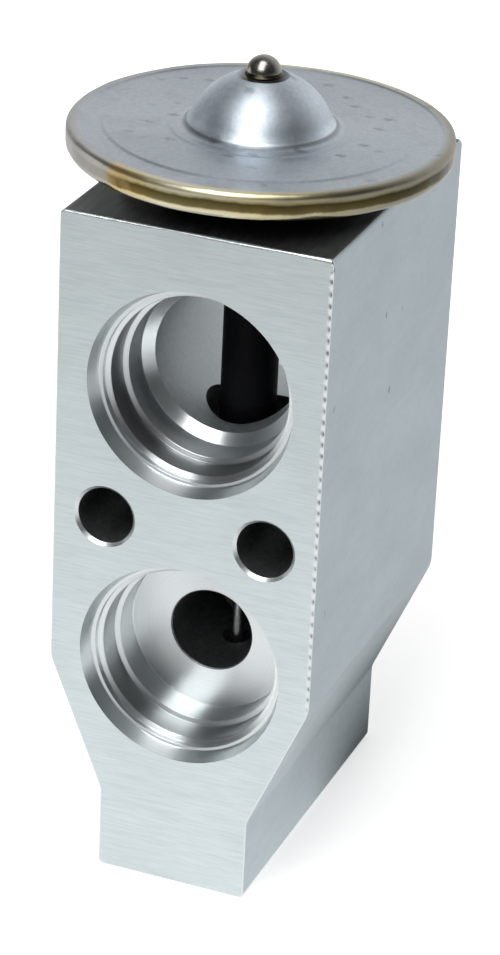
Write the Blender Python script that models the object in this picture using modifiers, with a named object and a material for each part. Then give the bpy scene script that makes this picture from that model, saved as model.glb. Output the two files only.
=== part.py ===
"""Block-type expansion valve for a vehicle air conditioner, at real size in metres, +Z up.

The front face, with the two evaporator ports, looks along -Y. The stem axis stands upright through the
block. The origin is on the base, at the middle of the whole valve's width and depth.
"""

import math

import bmesh
import bpy

# Clearances
FIT_GAP = 0.0003
CUT_MARGIN = 0.002
MERGE_DISTANCE = 1e-6
FLAT_ANGLE = 1e-4

# Block outline, seen from the front
BLOCK_WIDTH = 0.0330
BLOCK_DEPTH = 0.0440
BLOCK_HEIGHT = 0.0842
NECK_WIDTH = 0.0190
SHOULDER_BOTTOM = 0.0105
SHOULDER_TOP = 0.0270
SHOULDER_RADIUS = 0.0045
NECK_RADIUS = 0.0025
BASE_CORNER_RADIUS = 0.0007
EDGE_BREAK = 0.00025

# Stem axis, behind the front face
STEM_AXIS_DEPTH = 0.0191

# Step tool of the ports. The inlet's is smaller by its mouth
PORT_MOUTH_RADIUS = 0.0127
PORT_LEAD = 0.00065
PORT_SEAL = 0.00107
PORT_SPIGOT = 0.00168
PORT_STOP = 0.00236
PORT_LEAD_DEPTH = 0.0020
PORT_SEAL_DEPTH = 0.0028
PORT_SPIGOT_DEPTH = 0.0031
PORT_STEP_DEPTH = 0.0064
PORT_STEP_LENGTH = 0.0002
PORT_DEPTH = 0.0103
PORT_CONE_DEPTH = 0.0011

# Suction passage, right through the block
SUCTION_BELOW_TOP = 0.0198
SUCTION_HEIGHT = BLOCK_HEIGHT - SUCTION_BELOW_TOP
SUCTION_RADIUS = 0.00905

# Outlet port, in front and below
OUTLET_HEIGHT = 0.0295
OUTLET_HOLE_RADIUS = 0.00515
OUTLET_HOLE_PAST_AXIS = 0.0055

# Liquid inlet port, at the rear and lower still
INLET_MOUTH_RADIUS = 0.0080
INLET_HOLE_RADIUS = 0.0035
INLET_BELOW_SEAT = 0.0040

# Bolt holes, and the tapped hole of the pipe flange
BOLT_HOLE_RADIUS = 0.0035
BOLT_CHAMFER = 0.0005
BOLT_SPACING = 0.0200
BOLT_HEIGHT = 0.0470
FLANGE_HOLE_RADIUS = 0.0034
FLANGE_HOLE_DEPTH = 0.0140
FLANGE_HOLE_HEIGHT = 0.0396
DRILL_POINT_ANGLE = math.radians(118)

# Rod seal pocket, below the suction passage
SEAL_POCKET_DEPTH = 0.0061

# Valve seat and ball chamber
SEAT_RADIUS = 0.0018
SEAT_LENGTH = 0.0018
CHAMBER_RADIUS = 0.0052

# Power head
HEAD_RADIUS = 0.0225
HEAD_STANDOFF = 0.0037
UPPER_PLATE = 0.00105
LOWER_PLATE = 0.00085
DIAPHRAGM = 0.00015
DIAPHRAGM_WAVES = 2
DIAPHRAGM_WAVE_RISE = 0.0004
DIAPHRAGM_FLAT_RADIUS = 0.0080
WELD_BEAD = 0.0009
WELD_BEAD_ROUND = 0.0011
LAND_RADIUS = 0.0178
LAND_RISE = 0.00045
LAND_STEP = 0.0008
DOME_SPHERE_RADIUS = 0.0089
DOME_HEIGHT = 0.0066
DOME_EDGE_RADIUS = 0.0079
DOME_FLARE_RADIUS = 0.0028
DOME_FOOT_RADIUS = 0.0106
DOME_FOOT_STEP = 0.00025
CHARGE_HOLE_RADIUS = 0.0012
CHARGE_SEAT_RADIUS = 0.0030
CHARGE_BALL_RADIUS = 0.00206
CHARGE_BALL_SINK = 0.0002
HEAD_NECK_RADIUS = 0.0090
HEAD_NECK_WALL = 0.0018
HEAD_NECK_LENGTH = 0.0070
HEAD_NECK_RUNOUT = 0.0006
DISH_ABOVE_BLOCK = 0.0014
DISH_RADIUS = 0.0173
DISH_SLOPE = 0.0011
DISH_BEND = 0.0006
STOP_PLATE = 0.0015
STOP_PLATE_CHAMFER = 0.0004

# Thickness of the rings of round section
HEAD_RING = 0.0018
ROD_RING = 0.00205
SCREW_RING = 0.0012

# Rod, sleeve, pin and the washer over the rod's ring
ROD_RADIUS = 0.0024
ROD_STUB_RADIUS = 0.0018
ROD_STUB_LENGTH = 0.0009
ROD_FLANGE_RADIUS = 0.0040
ROD_FLANGE = 0.0012
SLEEVE_WALL = 0.0007
SLEEVE_TO_RETAINER = 0.0004
DRILLING_PLAY = 0.0021
PIN_RADIUS = 0.0007
PIN_IN_ROD = 0.0036
RETAINER = 0.0004
RETAINER_WIDTH = 0.0016
RETAINER_TEETH = 8
RETAINER_NOTCH = 0.0009
RETAINER_NOTCH_DEPTH = 0.0006

# Ball, its holder and the damper
VALVE_BALL_RADIUS = 0.0024
VALVE_LIFT = 0.0007
SEAT_CLEARANCE = 0.0001
HOLDER_CUP = 0.0014
HOLDER_TAPER = 0.0009
HOLDER_FLOOR = 0.0012
HOLDER_PLAY = 0.00025
HOLDER_STEM_LENGTH = 0.0032
HOLDER_STEM_CHAMFER = 0.0005
DAMPER = 0.00025
DAMPER_HEIGHT = 0.0036
DAMPER_FINGERS = 6
DAMPER_SLOT = 0.0020

# Adjusting screw and superheat spring
SCREW_RECESS = 0.0016
SCREW_RADIUS = 0.0070
SCREW_THREAD_LENGTH = 0.0036
SCREW_SEAL_RADIUS = 0.0064
SCREW_SEAL_LENGTH = 0.0052
SCREW_CHAMFER = 0.0005
SCREW_TRAVEL = 0.0010
SCREW_POCKET_DEPTH = 0.0016
HEX_ACROSS_FLATS = 0.0060
HEX_DEPTH = 0.0042
SPRING_WIRE = 0.0011
SPRING_MEAN_RADIUS = 0.0033
SPRING_PLAY = 0.00055
SPRING_STEM_PLAY = 0.00085
SPRING_END_GAP = 0.00015
SPRING_OPEN_TURNS = 2

# Facets round a full circle, and the widest turn of one facet of an arc
LARGE_FACETS = 36
MEDIUM_FACETS = 28
SMALL_FACETS = 18
RING_FACETS = 8
SPRING_FACETS = 12
BALL_RINGS = 10
POINTS_PER_WAVE = 4
ARC_FACET = math.radians(23)
DOME_FACET = math.radians(8)
CRISP_ANGLE = math.radians(25)

# How much of an edge a fillet may use: less where the edge's other corner is round too
SHARED_EDGE = 0.49
WHOLE_EDGE = 0.99

# Places across the depth
HEAD_OVERHANG = HEAD_RADIUS - STEM_AXIS_DEPTH
FRONT_Y = -(BLOCK_DEPTH - HEAD_OVERHANG) / 2
REAR_Y = FRONT_Y + BLOCK_DEPTH
AXIS_Y = FRONT_Y + STEM_AXIS_DEPTH

# Heights and radii of the power head
RIM_UNDERSIDE = BLOCK_HEIGHT + HEAD_STANDOFF
LOWER_FLANGE_TOP = RIM_UNDERSIDE + LOWER_PLATE
DIAPHRAGM_RIM = LOWER_FLANGE_TOP + FIT_GAP
UPPER_FLANGE_UNDERSIDE = DIAPHRAGM_RIM + DIAPHRAGM + FIT_GAP
RIM_TOP = UPPER_FLANGE_UNDERSIDE + UPPER_PLATE
LAND_TOP = RIM_TOP + LAND_RISE
DOME_TOP = LAND_TOP + DOME_HEIGHT
DOME_CENTRE = DOME_TOP - DOME_SPHERE_RADIUS
BEAD_INNER_RADIUS = HEAD_RADIUS - WELD_BEAD
CLAMPED_RADIUS = BEAD_INNER_RADIUS - FIT_GAP
DISH_UNDERSIDE = BLOCK_HEIGHT + DISH_ABOVE_BLOCK
DISH_FLOOR = DISH_UNDERSIDE + LOWER_PLATE
HEAD_NECK_BOTTOM = BLOCK_HEIGHT - HEAD_NECK_LENGTH
HEAD_NECK_BORE = HEAD_NECK_RADIUS - HEAD_NECK_WALL
RING_RECESS_FLOOR = DISH_UNDERSIDE - HEAD_RING - 2 * FIT_GAP
RING_RECESS_RADIUS = HEAD_NECK_RADIUS + HEAD_RING + 2 * FIT_GAP
STOP_PLATE_UNDERSIDE = DISH_FLOOR + FIT_GAP
STOP_PLATE_TOP = STOP_PLATE_UNDERSIDE + STOP_PLATE
STOP_PLATE_RADIUS = DISH_RADIUS - DISH_SLOPE - 2 * FIT_GAP
DIAPHRAGM_CENTRE = STOP_PLATE_TOP + FIT_GAP

# Rod and its seal pocket
SLEEVE_INNER_RADIUS = ROD_RADIUS + FIT_GAP
SLEEVE_RADIUS = SLEEVE_INNER_RADIUS + SLEEVE_WALL
DRILLING_RADIUS = SLEEVE_RADIUS + DRILLING_PLAY
SEAL_POCKET_RADIUS = ROD_RADIUS + ROD_RING + 2 * FIT_GAP
SEAL_POCKET_FLOOR = SUCTION_HEIGHT - SUCTION_RADIUS - SEAL_POCKET_DEPTH
ROD_BOTTOM = SEAL_POCKET_FLOOR + FIT_GAP
ROD_SHOULDER = STOP_PLATE_UNDERSIDE - FIT_GAP
ROD_FLANGE_UNDERSIDE = ROD_SHOULDER - ROD_FLANGE
RETAINER_UNDERSIDE = SEAL_POCKET_FLOOR + ROD_RING + 2 * FIT_GAP
RETAINER_TOP = RETAINER_UNDERSIDE + RETAINER
PIN_HOLE_RADIUS = PIN_RADIUS + FIT_GAP

# Seat, ball and holder, with the valve open
SEAT = OUTLET_HEIGHT - OUTLET_HOLE_RADIUS - SEAT_LENGTH
BALL_BELOW_SEAT = math.sqrt(VALVE_BALL_RADIUS**2 - SEAT_RADIUS**2)
BALL_CENTRE = SEAT - BALL_BELOW_SEAT - SEAT_CLEARANCE - VALVE_LIFT
BALL_BOTTOM = BALL_CENTRE - VALVE_BALL_RADIUS
INLET_HEIGHT = SEAT - INLET_BELOW_SEAT
DAMPER_RADIUS = CHAMBER_RADIUS - FIT_GAP
HOLDER_RADIUS = DAMPER_RADIUS - DAMPER - FIT_GAP - HOLDER_PLAY
HOLDER_STEM_RADIUS = SPRING_MEAN_RADIUS - SPRING_WIRE / 2 - SPRING_STEM_PLAY
HOLDER_UNDERSIDE = BALL_BOTTOM - FIT_GAP - HOLDER_FLOOR
DAMPER_UNDERSIDE = HOLDER_UNDERSIDE - FIT_GAP - DAMPER

# Screw and the bores that hold it
SCREW_THREAD_TOP = SCREW_RECESS + SCREW_THREAD_LENGTH
SCREW_TOP = SCREW_THREAD_TOP + SCREW_SEAL_LENGTH
SCREW_POCKET_RADIUS = SPRING_MEAN_RADIUS + SPRING_WIRE / 2 + SPRING_PLAY
SCREW_POCKET_FLOOR = SCREW_TOP - SCREW_POCKET_DEPTH
THREAD_BORE_TOP = SCREW_THREAD_TOP + SCREW_TRAVEL + FIT_GAP
SEAL_BORE_TOP = SCREW_TOP + SCREW_TRAVEL + FIT_GAP
SCREW_GROOVE_RADIUS = SCREW_SEAL_RADIUS - SCREW_RING - FIT_GAP
SCREW_GROOVE_TOP = THREAD_BORE_TOP + SCREW_RING + 2 * FIT_GAP


def clear_scene():
    for obj in list(bpy.data.objects):
        bpy.data.objects.remove(obj, do_unlink=True)


def new_collection(name, hidden=False):
    made = bpy.data.collections.new(name)
    made.hide_render = hidden
    bpy.context.scene.collection.children.link(made)
    return made


def principled(name, colour, roughness, metallic):
    material = bpy.data.materials.new(name)
    material.use_nodes = True
    shader = material.node_tree.nodes["Principled BSDF"]
    shader.inputs["Base Color"].default_value = (*colour, 1.0)
    shader.inputs["Roughness"].default_value = roughness
    shader.inputs["Metallic"].default_value = metallic
    return material


clear_scene()
PARTS = new_collection("expansion_valve")
CUTTERS = new_collection("expansion_valve_cutters", hidden=True)
MILLED_ALUMINIUM = principled("milled_aluminium", (0.74, 0.76, 0.78), 0.38, 1.0)
TURNED_ALUMINIUM = principled("turned_aluminium", (0.70, 0.72, 0.74), 0.30, 1.0)
PRESSED_STEEL = principled("pressed_steel", (0.56, 0.58, 0.61), 0.42, 1.0)
THIN_STAINLESS = principled("thin_stainless", (0.60, 0.60, 0.60), 0.28, 1.0)
BALL_STEEL = principled("ball_steel", (0.42, 0.41, 0.38), 0.12, 1.0)
BLACK_PLASTIC = principled("black_plastic", (0.02, 0.02, 0.022), 0.55, 0.0)
GREEN_RUBBER = principled("green_rubber", (0.03, 0.10, 0.05), 0.70, 0.0)


def arc(centre, radius, first, last, facet=ARC_FACET):
    """Points of a circle's arc in the plane of a profile, from one angle to another, both included."""
    steps = max(1, math.ceil(abs(last - first) / facet))
    angles = [first + (last - first) * k / steps for k in range(steps + 1)]
    return [(centre[0] + radius * math.cos(a), centre[1] + radius * math.sin(a)) for a in angles]


def fillet(before, corner, after, radius, longest):
    """The arc that rounds a corner between two straight lines, with its tangents at most this long."""
    ax, ay = before[0] - corner[0], before[1] - corner[1]
    bx, by = after[0] - corner[0], after[1] - corner[1]
    a_length, b_length = math.hypot(ax, ay), math.hypot(bx, by)
    ax, ay, bx, by = ax / a_length, ay / a_length, bx / b_length, by / b_length
    half = math.acos(ax * bx + ay * by) / 2
    radius = min(radius, longest * math.tan(half))
    middle = radius / (math.sin(half) * math.hypot(ax + bx, ay + by))
    centre = (corner[0] + (ax + bx) * middle, corner[1] + (ay + by) * middle)
    reach = radius / math.tan(half)
    first = math.atan2(corner[1] + ay * reach - centre[1], corner[0] + ax * reach - centre[0])
    turn = math.pi - 2 * half
    if ax * by - ay * bx > 0:
        turn = -turn
    return arc(centre, radius, first, first + turn)


def rounded(corners, closed=True):
    """A path through corners given as (x, y) or, where the corner is rounded, (x, y, radius)."""
    path = []
    count = len(corners)
    for k, corner in enumerate(corners):
        if len(corner) == 2 or not (closed or 0 < k < count - 1):
            path.append(corner[:2])
            continue
        before, after = corners[k - 1], corners[(k + 1) % count]
        room = []
        for neighbour in (before, after):
            share = SHARED_EDGE if len(neighbour) == 3 else WHOLE_EDGE
            room.append(share * math.dist(corner[:2], neighbour[:2]))
        path += fillet(before, corner, after, corner[2], min(room))
    return path


def place(obj, material, collection):
    collection.objects.link(obj)
    if collection is CUTTERS:
        obj.hide_render = True
        obj.display_type = "WIRE"
    else:
        obj.data.materials.append(material)
    return obj


def turned(name, profile, facets, material=None, location=(0, AXIS_Y, 0), rotation=(0, 0, 0)):
    """A turned piece. Its profile of (radius, height) runs clockwise: down the outer side."""
    collection = PARTS if material else CUTTERS
    mesh = bpy.data.meshes.new(name)
    shape = bmesh.new()
    points = [shape.verts.new((radius, 0, height)) for radius, height in profile]
    for first, second in zip(points, points[1:]):
        shape.edges.new((first, second))
    if profile[0][0] > 0:
        shape.edges.new((points[-1], points[0]))
    shape.to_mesh(mesh)
    shape.free()
    obj = place(bpy.data.objects.new(name, mesh), material, collection)
    obj.location = location
    obj.rotation_euler = rotation
    screw = obj.modifiers.new("turn", "SCREW")
    screw.axis = "Z"
    screw.angle = 2 * math.pi
    screw.steps = facets
    screw.render_steps = facets
    screw.use_merge_vertices = True
    screw.merge_threshold = MERGE_DISTANCE
    screw.use_smooth_shade = True
    return obj


def bore(name, steps, mouth, facets, rotation):
    """A cutter whose steps are (depth, radius) from a mouth inwards, along its own +Z."""
    first_depth, first_radius = steps[0]
    outside = (first_radius, first_depth - CUT_MARGIN)
    profile = [(radius, depth) for depth, radius in reversed(steps)] + [outside, (0, outside[1])]
    if profile[0][0] > 0:
        profile.insert(0, (0, profile[0][1]))
    return turned(name, profile, facets, location=mouth, rotation=rotation)


INTO_FRONT = (-math.pi / 2, 0, 0)
INTO_REAR = (math.pi / 2, 0, 0)


def port_steps(mouth_radius):
    """Tapered mouth, seal bore, spigot bore and stop bore of one port."""
    return [
        (0, mouth_radius),
        (PORT_LEAD_DEPTH, mouth_radius - PORT_LEAD),
        (PORT_LEAD_DEPTH, mouth_radius - PORT_SEAL),
        (PORT_SEAL_DEPTH, mouth_radius - PORT_SEAL),
        (PORT_SPIGOT_DEPTH, mouth_radius - PORT_SPIGOT),
        (PORT_STEP_DEPTH, mouth_radius - PORT_SPIGOT),
        (PORT_STEP_DEPTH + PORT_STEP_LENGTH, mouth_radius - PORT_STOP),
        (PORT_DEPTH, mouth_radius - PORT_STOP),
    ]


def suction_bore():
    front = port_steps(PORT_MOUTH_RADIUS) + [(PORT_DEPTH + PORT_CONE_DEPTH, SUCTION_RADIUS)]
    rear = [(BLOCK_DEPTH - depth, radius) for depth, radius in reversed(front)]
    steps = front + rear + [(BLOCK_DEPTH + CUT_MARGIN, PORT_MOUTH_RADIUS)]
    return bore("suction_bore", steps, (0, FRONT_Y, SUCTION_HEIGHT), LARGE_FACETS, INTO_FRONT)


def outlet_bore():
    drilled = STEM_AXIS_DEPTH + OUTLET_HOLE_PAST_AXIS
    point = OUTLET_HOLE_RADIUS / math.tan(DRILL_POINT_ANGLE / 2)
    steps = port_steps(PORT_MOUTH_RADIUS)
    steps += [(PORT_DEPTH, OUTLET_HOLE_RADIUS), (drilled, OUTLET_HOLE_RADIUS), (drilled + point, 0)]
    return bore("outlet_bore", steps, (0, FRONT_Y, OUTLET_HEIGHT), LARGE_FACETS, INTO_FRONT)


def inlet_bore():
    steps = port_steps(INLET_MOUTH_RADIUS)
    steps += [(PORT_DEPTH + PORT_CONE_DEPTH, INLET_HOLE_RADIUS)]
    steps += [(BLOCK_DEPTH - STEM_AXIS_DEPTH, INLET_HOLE_RADIUS)]
    return bore("inlet_bore", steps, (0, REAR_Y, INLET_HEIGHT), MEDIUM_FACETS, INTO_REAR)


def bolt_bore(name, x):
    steps = [
        (0, BOLT_HOLE_RADIUS + BOLT_CHAMFER),
        (BOLT_CHAMFER, BOLT_HOLE_RADIUS),
        (BLOCK_DEPTH - BOLT_CHAMFER, BOLT_HOLE_RADIUS),
        (BLOCK_DEPTH, BOLT_HOLE_RADIUS + BOLT_CHAMFER),
        (BLOCK_DEPTH + CUT_MARGIN, BOLT_HOLE_RADIUS + BOLT_CHAMFER),
    ]
    return bore(name, steps, (x, FRONT_Y, BOLT_HEIGHT), MEDIUM_FACETS, INTO_FRONT)


def flange_bore():
    point = FLANGE_HOLE_RADIUS / math.tan(DRILL_POINT_ANGLE / 2)
    steps = [
        (0, FLANGE_HOLE_RADIUS + BOLT_CHAMFER),
        (BOLT_CHAMFER, FLANGE_HOLE_RADIUS),
        (FLANGE_HOLE_DEPTH, FLANGE_HOLE_RADIUS),
        (FLANGE_HOLE_DEPTH + point, 0),
    ]
    return bore("flange_bore", steps, (0, REAR_Y, FLANGE_HOLE_HEIGHT), SMALL_FACETS, INTO_REAR)


def stem_bore():
    """Everything drilled along the stem axis, from the head's ring recess down to the base."""
    steps = [
        (BLOCK_HEIGHT + CUT_MARGIN, RING_RECESS_RADIUS),
        (RING_RECESS_FLOOR, RING_RECESS_RADIUS),
        (RING_RECESS_FLOOR, HEAD_NECK_RADIUS + FIT_GAP),
        (HEAD_NECK_BOTTOM - HEAD_NECK_RUNOUT, HEAD_NECK_RADIUS + FIT_GAP),
        (HEAD_NECK_BOTTOM - HEAD_NECK_RUNOUT, DRILLING_RADIUS),
        (SUCTION_HEIGHT, DRILLING_RADIUS),
        (SUCTION_HEIGHT, SEAL_POCKET_RADIUS),
        (SEAL_POCKET_FLOOR, SEAL_POCKET_RADIUS),
        (SEAL_POCKET_FLOOR, PIN_HOLE_RADIUS),
        (OUTLET_HEIGHT, PIN_HOLE_RADIUS),
        (OUTLET_HEIGHT, SEAT_RADIUS),
        (SEAT, SEAT_RADIUS),
        (SEAT, CHAMBER_RADIUS),
        (SEAL_BORE_TOP, CHAMBER_RADIUS),
        (SEAL_BORE_TOP, SCREW_SEAL_RADIUS + FIT_GAP),
        (THREAD_BORE_TOP, SCREW_SEAL_RADIUS + FIT_GAP),
        (THREAD_BORE_TOP, SCREW_RADIUS + FIT_GAP),
        (-CUT_MARGIN, SCREW_RADIUS + FIT_GAP),
    ]
    profile = [(0, steps[0][0])] + [(radius, height) for height, radius in steps] + [(0, steps[-1][0])]
    return turned("stem_bore", profile, MEDIUM_FACETS)


def smooth_by_angle():
    """Node group that shades a piece smooth and keeps crisp the edges where its faces turn sharply."""
    group = bpy.data.node_groups.new("smooth_by_angle", "GeometryNodeTree")
    group.interface.new_socket("Geometry", in_out="INPUT", socket_type="NodeSocketGeometry")
    group.interface.new_socket("Geometry", in_out="OUTPUT", socket_type="NodeSocketGeometry")
    start = group.nodes.new("NodeGroupInput")
    end = group.nodes.new("NodeGroupOutput")
    faces = group.nodes.new("GeometryNodeSetShadeSmooth")
    edges = group.nodes.new("GeometryNodeSetShadeSmooth")
    edges.domain = "EDGE"
    edges.inputs["Shade Smooth"].default_value = False
    angle = group.nodes.new("GeometryNodeInputMeshEdgeAngle")
    sharp = group.nodes.new("FunctionNodeCompare")
    sharp.operation = "GREATER_THAN"
    sharp.inputs["B"].default_value = CRISP_ANGLE
    group.links.new(start.outputs["Geometry"], faces.inputs["Geometry"])
    group.links.new(faces.outputs["Geometry"], edges.inputs["Geometry"])
    group.links.new(angle.outputs["Unsigned Angle"], sharp.inputs["A"])
    group.links.new(sharp.outputs["Result"], edges.inputs["Selection"])
    group.links.new(edges.outputs["Geometry"], end.inputs["Geometry"])
    return group


def shade(pieces):
    group = smooth_by_angle()
    for obj in pieces:
        if obj.type == "MESH":
            obj.modifiers.new("smooth_by_angle", "NODES").node_group = group


def cut(target, cutter):
    modifier = target.modifiers.new(cutter.name, "BOOLEAN")
    modifier.operation = "DIFFERENCE"
    modifier.solver = "EXACT"
    modifier.object = cutter


def block_blank():
    """The extruded bar, cut to the block's depth, with a small chamfer round both sawn faces."""
    half = [
        (BLOCK_WIDTH / 2, BLOCK_HEIGHT, EDGE_BREAK),
        (BLOCK_WIDTH / 2, SHOULDER_TOP, SHOULDER_RADIUS),
        (NECK_WIDTH / 2, SHOULDER_BOTTOM, NECK_RADIUS),
        (NECK_WIDTH / 2, 0, BASE_CORNER_RADIUS),
    ]
    outline = rounded(half + [(-x, z, radius) for x, z, radius in reversed(half)])
    curve = bpy.data.curves.new("block_outline", "CURVE")
    curve.dimensions = "2D"
    curve.fill_mode = "BOTH"
    curve.extrude = BLOCK_DEPTH / 2 - EDGE_BREAK
    curve.bevel_depth = EDGE_BREAK
    curve.bevel_resolution = 0
    curve.offset = -EDGE_BREAK
    spline = curve.splines.new("POLY")
    spline.points.add(len(outline) - 1)
    for point, (x, z) in zip(spline.points, outline):
        point.co = (x, z, 0, 1)
    spline.use_cyclic_u = True
    drawn = bpy.data.objects.new("block_outline", curve)
    bpy.context.scene.collection.objects.link(drawn)
    bpy.context.view_layer.update()
    graph = bpy.context.evaluated_depsgraph_get()
    mesh = bpy.data.meshes.new_from_object(drawn.evaluated_get(graph))
    bpy.data.objects.remove(drawn, do_unlink=True)
    shape = bmesh.new()
    shape.from_mesh(mesh)
    bmesh.ops.remove_doubles(shape, verts=shape.verts, dist=MERGE_DISTANCE)
    bmesh.ops.dissolve_limit(shape, angle_limit=FLAT_ANGLE, verts=shape.verts, edges=shape.edges)
    bmesh.ops.recalc_face_normals(shape, faces=shape.faces)
    shape.to_mesh(mesh)
    shape.free()
    return mesh


def valve_body():
    body = bpy.data.objects.new("valve_body", block_blank())
    place(body, MILLED_ALUMINIUM, PARTS)
    body.location = (0, (FRONT_Y + REAR_Y) / 2, 0)
    body.rotation_euler = (math.pi / 2, 0, 0)
    cut(body, suction_bore())
    cut(body, outlet_bore())
    cut(body, inlet_bore())
    cut(body, stem_bore())
    cut(body, bolt_bore("bolt_bore_left", -BOLT_SPACING / 2))
    cut(body, bolt_bore("bolt_bore_right", BOLT_SPACING / 2))
    cut(body, flange_bore())


def sphere_height(sphere_radius, radius):
    """Height of one of the dome's two spheres over a circle of this radius."""
    return DOME_CENTRE + math.sqrt(sphere_radius**2 - radius**2)


def dome_arc(sphere_radius, first_radius, last_radius, facet):
    first = math.acos(first_radius / sphere_radius)
    last = math.acos(last_radius / sphere_radius)
    return arc((0, DOME_CENTRE), sphere_radius, first, last, facet)


def flare_corner(sphere_radius, edge_radius, floor):
    """Radius where the dome's tangent, from the edge of its sphere, comes down to the floor."""
    above_centre = sphere_height(sphere_radius, edge_radius) - DOME_CENTRE
    return edge_radius + (DOME_CENTRE + above_centre - floor) * above_centre / edge_radius


def charge_ball_centre():
    return DOME_TOP - CHARGE_BALL_SINK


def charge_cone_bottom():
    """Height where the ball's conical seat, clear of the ball by the fit gap, meets the charging hole."""
    top = sphere_height(DOME_SPHERE_RADIUS, CHARGE_SEAT_RADIUS)
    rise = charge_ball_centre() - top
    distance = math.hypot(CHARGE_SEAT_RADIUS, rise)
    slope = math.asin((CHARGE_BALL_RADIUS + FIT_GAP) / distance) - math.atan2(rise, CHARGE_SEAT_RADIUS)
    return top - (CHARGE_SEAT_RADIUS - CHARGE_HOLE_RADIUS) * math.tan(slope)


def head_upper_housing():
    """Pressed cover: a dome that flares out into a flat land, and a rim welded round as a bead."""
    cone_bottom = charge_cone_bottom()
    edge_height = sphere_height(DOME_SPHERE_RADIUS, DOME_EDGE_RADIUS)
    foot_top = LAND_TOP + DOME_FOOT_STEP
    foot_end = DOME_FOOT_RADIUS + DOME_FOOT_STEP
    flare = flare_corner(DOME_SPHERE_RADIUS, DOME_EDGE_RADIUS, foot_top)
    inner_sphere = DOME_SPHERE_RADIUS - UPPER_PLATE
    inner_edge = DOME_EDGE_RADIUS * inner_sphere / DOME_SPHERE_RADIUS
    inner_edge_height = sphere_height(inner_sphere, inner_edge)
    land_underside = UPPER_FLANGE_UNDERSIDE + LAND_RISE
    inner_flare = flare_corner(inner_sphere, inner_edge, land_underside)
    rim = [
        (DOME_EDGE_RADIUS, edge_height),
        (flare, foot_top, DOME_FLARE_RADIUS),
        (DOME_FOOT_RADIUS, foot_top),
        (foot_end, LAND_TOP),
        (LAND_RADIUS, LAND_TOP, LAND_STEP / 2),
        (LAND_RADIUS + LAND_STEP, RIM_TOP, LAND_STEP / 2),
        (HEAD_RADIUS, RIM_TOP, WELD_BEAD_ROUND),
        (HEAD_RADIUS, RIM_UNDERSIDE, WELD_BEAD),
        (BEAD_INNER_RADIUS, RIM_UNDERSIDE),
        (BEAD_INNER_RADIUS, UPPER_FLANGE_UNDERSIDE),
        (LAND_RADIUS + LAND_STEP - LAND_RISE, UPPER_FLANGE_UNDERSIDE),
        (LAND_RADIUS - LAND_RISE, land_underside),
        (inner_flare, land_underside, DOME_FLARE_RADIUS + UPPER_PLATE),
        (inner_edge, inner_edge_height),
    ]
    profile = [(CHARGE_HOLE_RADIUS, cone_bottom)]
    profile += dome_arc(DOME_SPHERE_RADIUS, CHARGE_SEAT_RADIUS, DOME_EDGE_RADIUS, DOME_FACET)
    profile += rounded(rim, closed=False)[1:-1]
    profile += dome_arc(inner_sphere, inner_edge, CHARGE_SEAT_RADIUS, ARC_FACET)
    profile += [(CHARGE_HOLE_RADIUS, cone_bottom - UPPER_PLATE)]
    turned("head_upper_housing", profile, LARGE_FACETS, PRESSED_STEEL)


def head_lower_housing():
    slope_angle = math.atan2(LOWER_FLANGE_TOP - DISH_FLOOR, DISH_SLOPE)
    wall_shift = LOWER_PLATE * math.tan(slope_angle / 2)
    corners = [
        (CLAMPED_RADIUS, LOWER_FLANGE_TOP),
        (CLAMPED_RADIUS, RIM_UNDERSIDE),
        (DISH_RADIUS + wall_shift, RIM_UNDERSIDE, DISH_BEND),
        (DISH_RADIUS - DISH_SLOPE + wall_shift, DISH_UNDERSIDE, DISH_BEND + LOWER_PLATE),
        (HEAD_NECK_RADIUS, DISH_UNDERSIDE),
        (HEAD_NECK_RADIUS, HEAD_NECK_BOTTOM),
        (HEAD_NECK_BORE, HEAD_NECK_BOTTOM),
        (HEAD_NECK_BORE, DISH_FLOOR, DISH_BEND),
        (DISH_RADIUS - DISH_SLOPE, DISH_FLOOR, DISH_BEND),
        (DISH_RADIUS, LOWER_FLANGE_TOP, DISH_BEND + LOWER_PLATE),
    ]
    turned("head_lower_housing", rounded(corners), MEDIUM_FACETS, PRESSED_STEEL)


def diaphragm():
    """Thin disc, flat in the middle and at its clamped edge, with round waves between."""
    wave_end = DISH_RADIUS - DISH_SLOPE
    count = POINTS_PER_WAVE * DIAPHRAGM_WAVES
    waves = []
    for k in range(1, count + 1):
        share = k / count
        radius = DIAPHRAGM_FLAT_RADIUS + (wave_end - DIAPHRAGM_FLAT_RADIUS) * share
        ramp = DIAPHRAGM_CENTRE + (DIAPHRAGM_RIM - DIAPHRAGM_CENTRE) * share
        rise = DIAPHRAGM_WAVE_RISE * (1 - math.cos(2 * math.pi * DIAPHRAGM_WAVES * share)) / 2
        waves.append((radius, ramp + rise))
    upper = [(0, DIAPHRAGM_CENTRE), (DIAPHRAGM_FLAT_RADIUS, DIAPHRAGM_CENTRE)] + waves
    upper += [(CLAMPED_RADIUS, DIAPHRAGM_RIM)]
    profile = [(radius, height + DIAPHRAGM) for radius, height in upper] + upper[::-1]
    turned("diaphragm", profile, MEDIUM_FACETS, THIN_STAINLESS)


def diaphragm_stop_plate():
    socket = ROD_STUB_RADIUS + FIT_GAP
    socket_top = STOP_PLATE_UNDERSIDE + ROD_STUB_LENGTH + FIT_GAP
    profile = [
        (0, STOP_PLATE_TOP),
        (STOP_PLATE_RADIUS - STOP_PLATE_CHAMFER, STOP_PLATE_TOP),
        (STOP_PLATE_RADIUS, STOP_PLATE_TOP - STOP_PLATE_CHAMFER),
        (STOP_PLATE_RADIUS, STOP_PLATE_UNDERSIDE),
        (socket, STOP_PLATE_UNDERSIDE),
        (socket, socket_top),
        (0, socket_top),
    ]
    turned("diaphragm_stop_plate", profile, MEDIUM_FACETS, THIN_STAINLESS)


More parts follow.
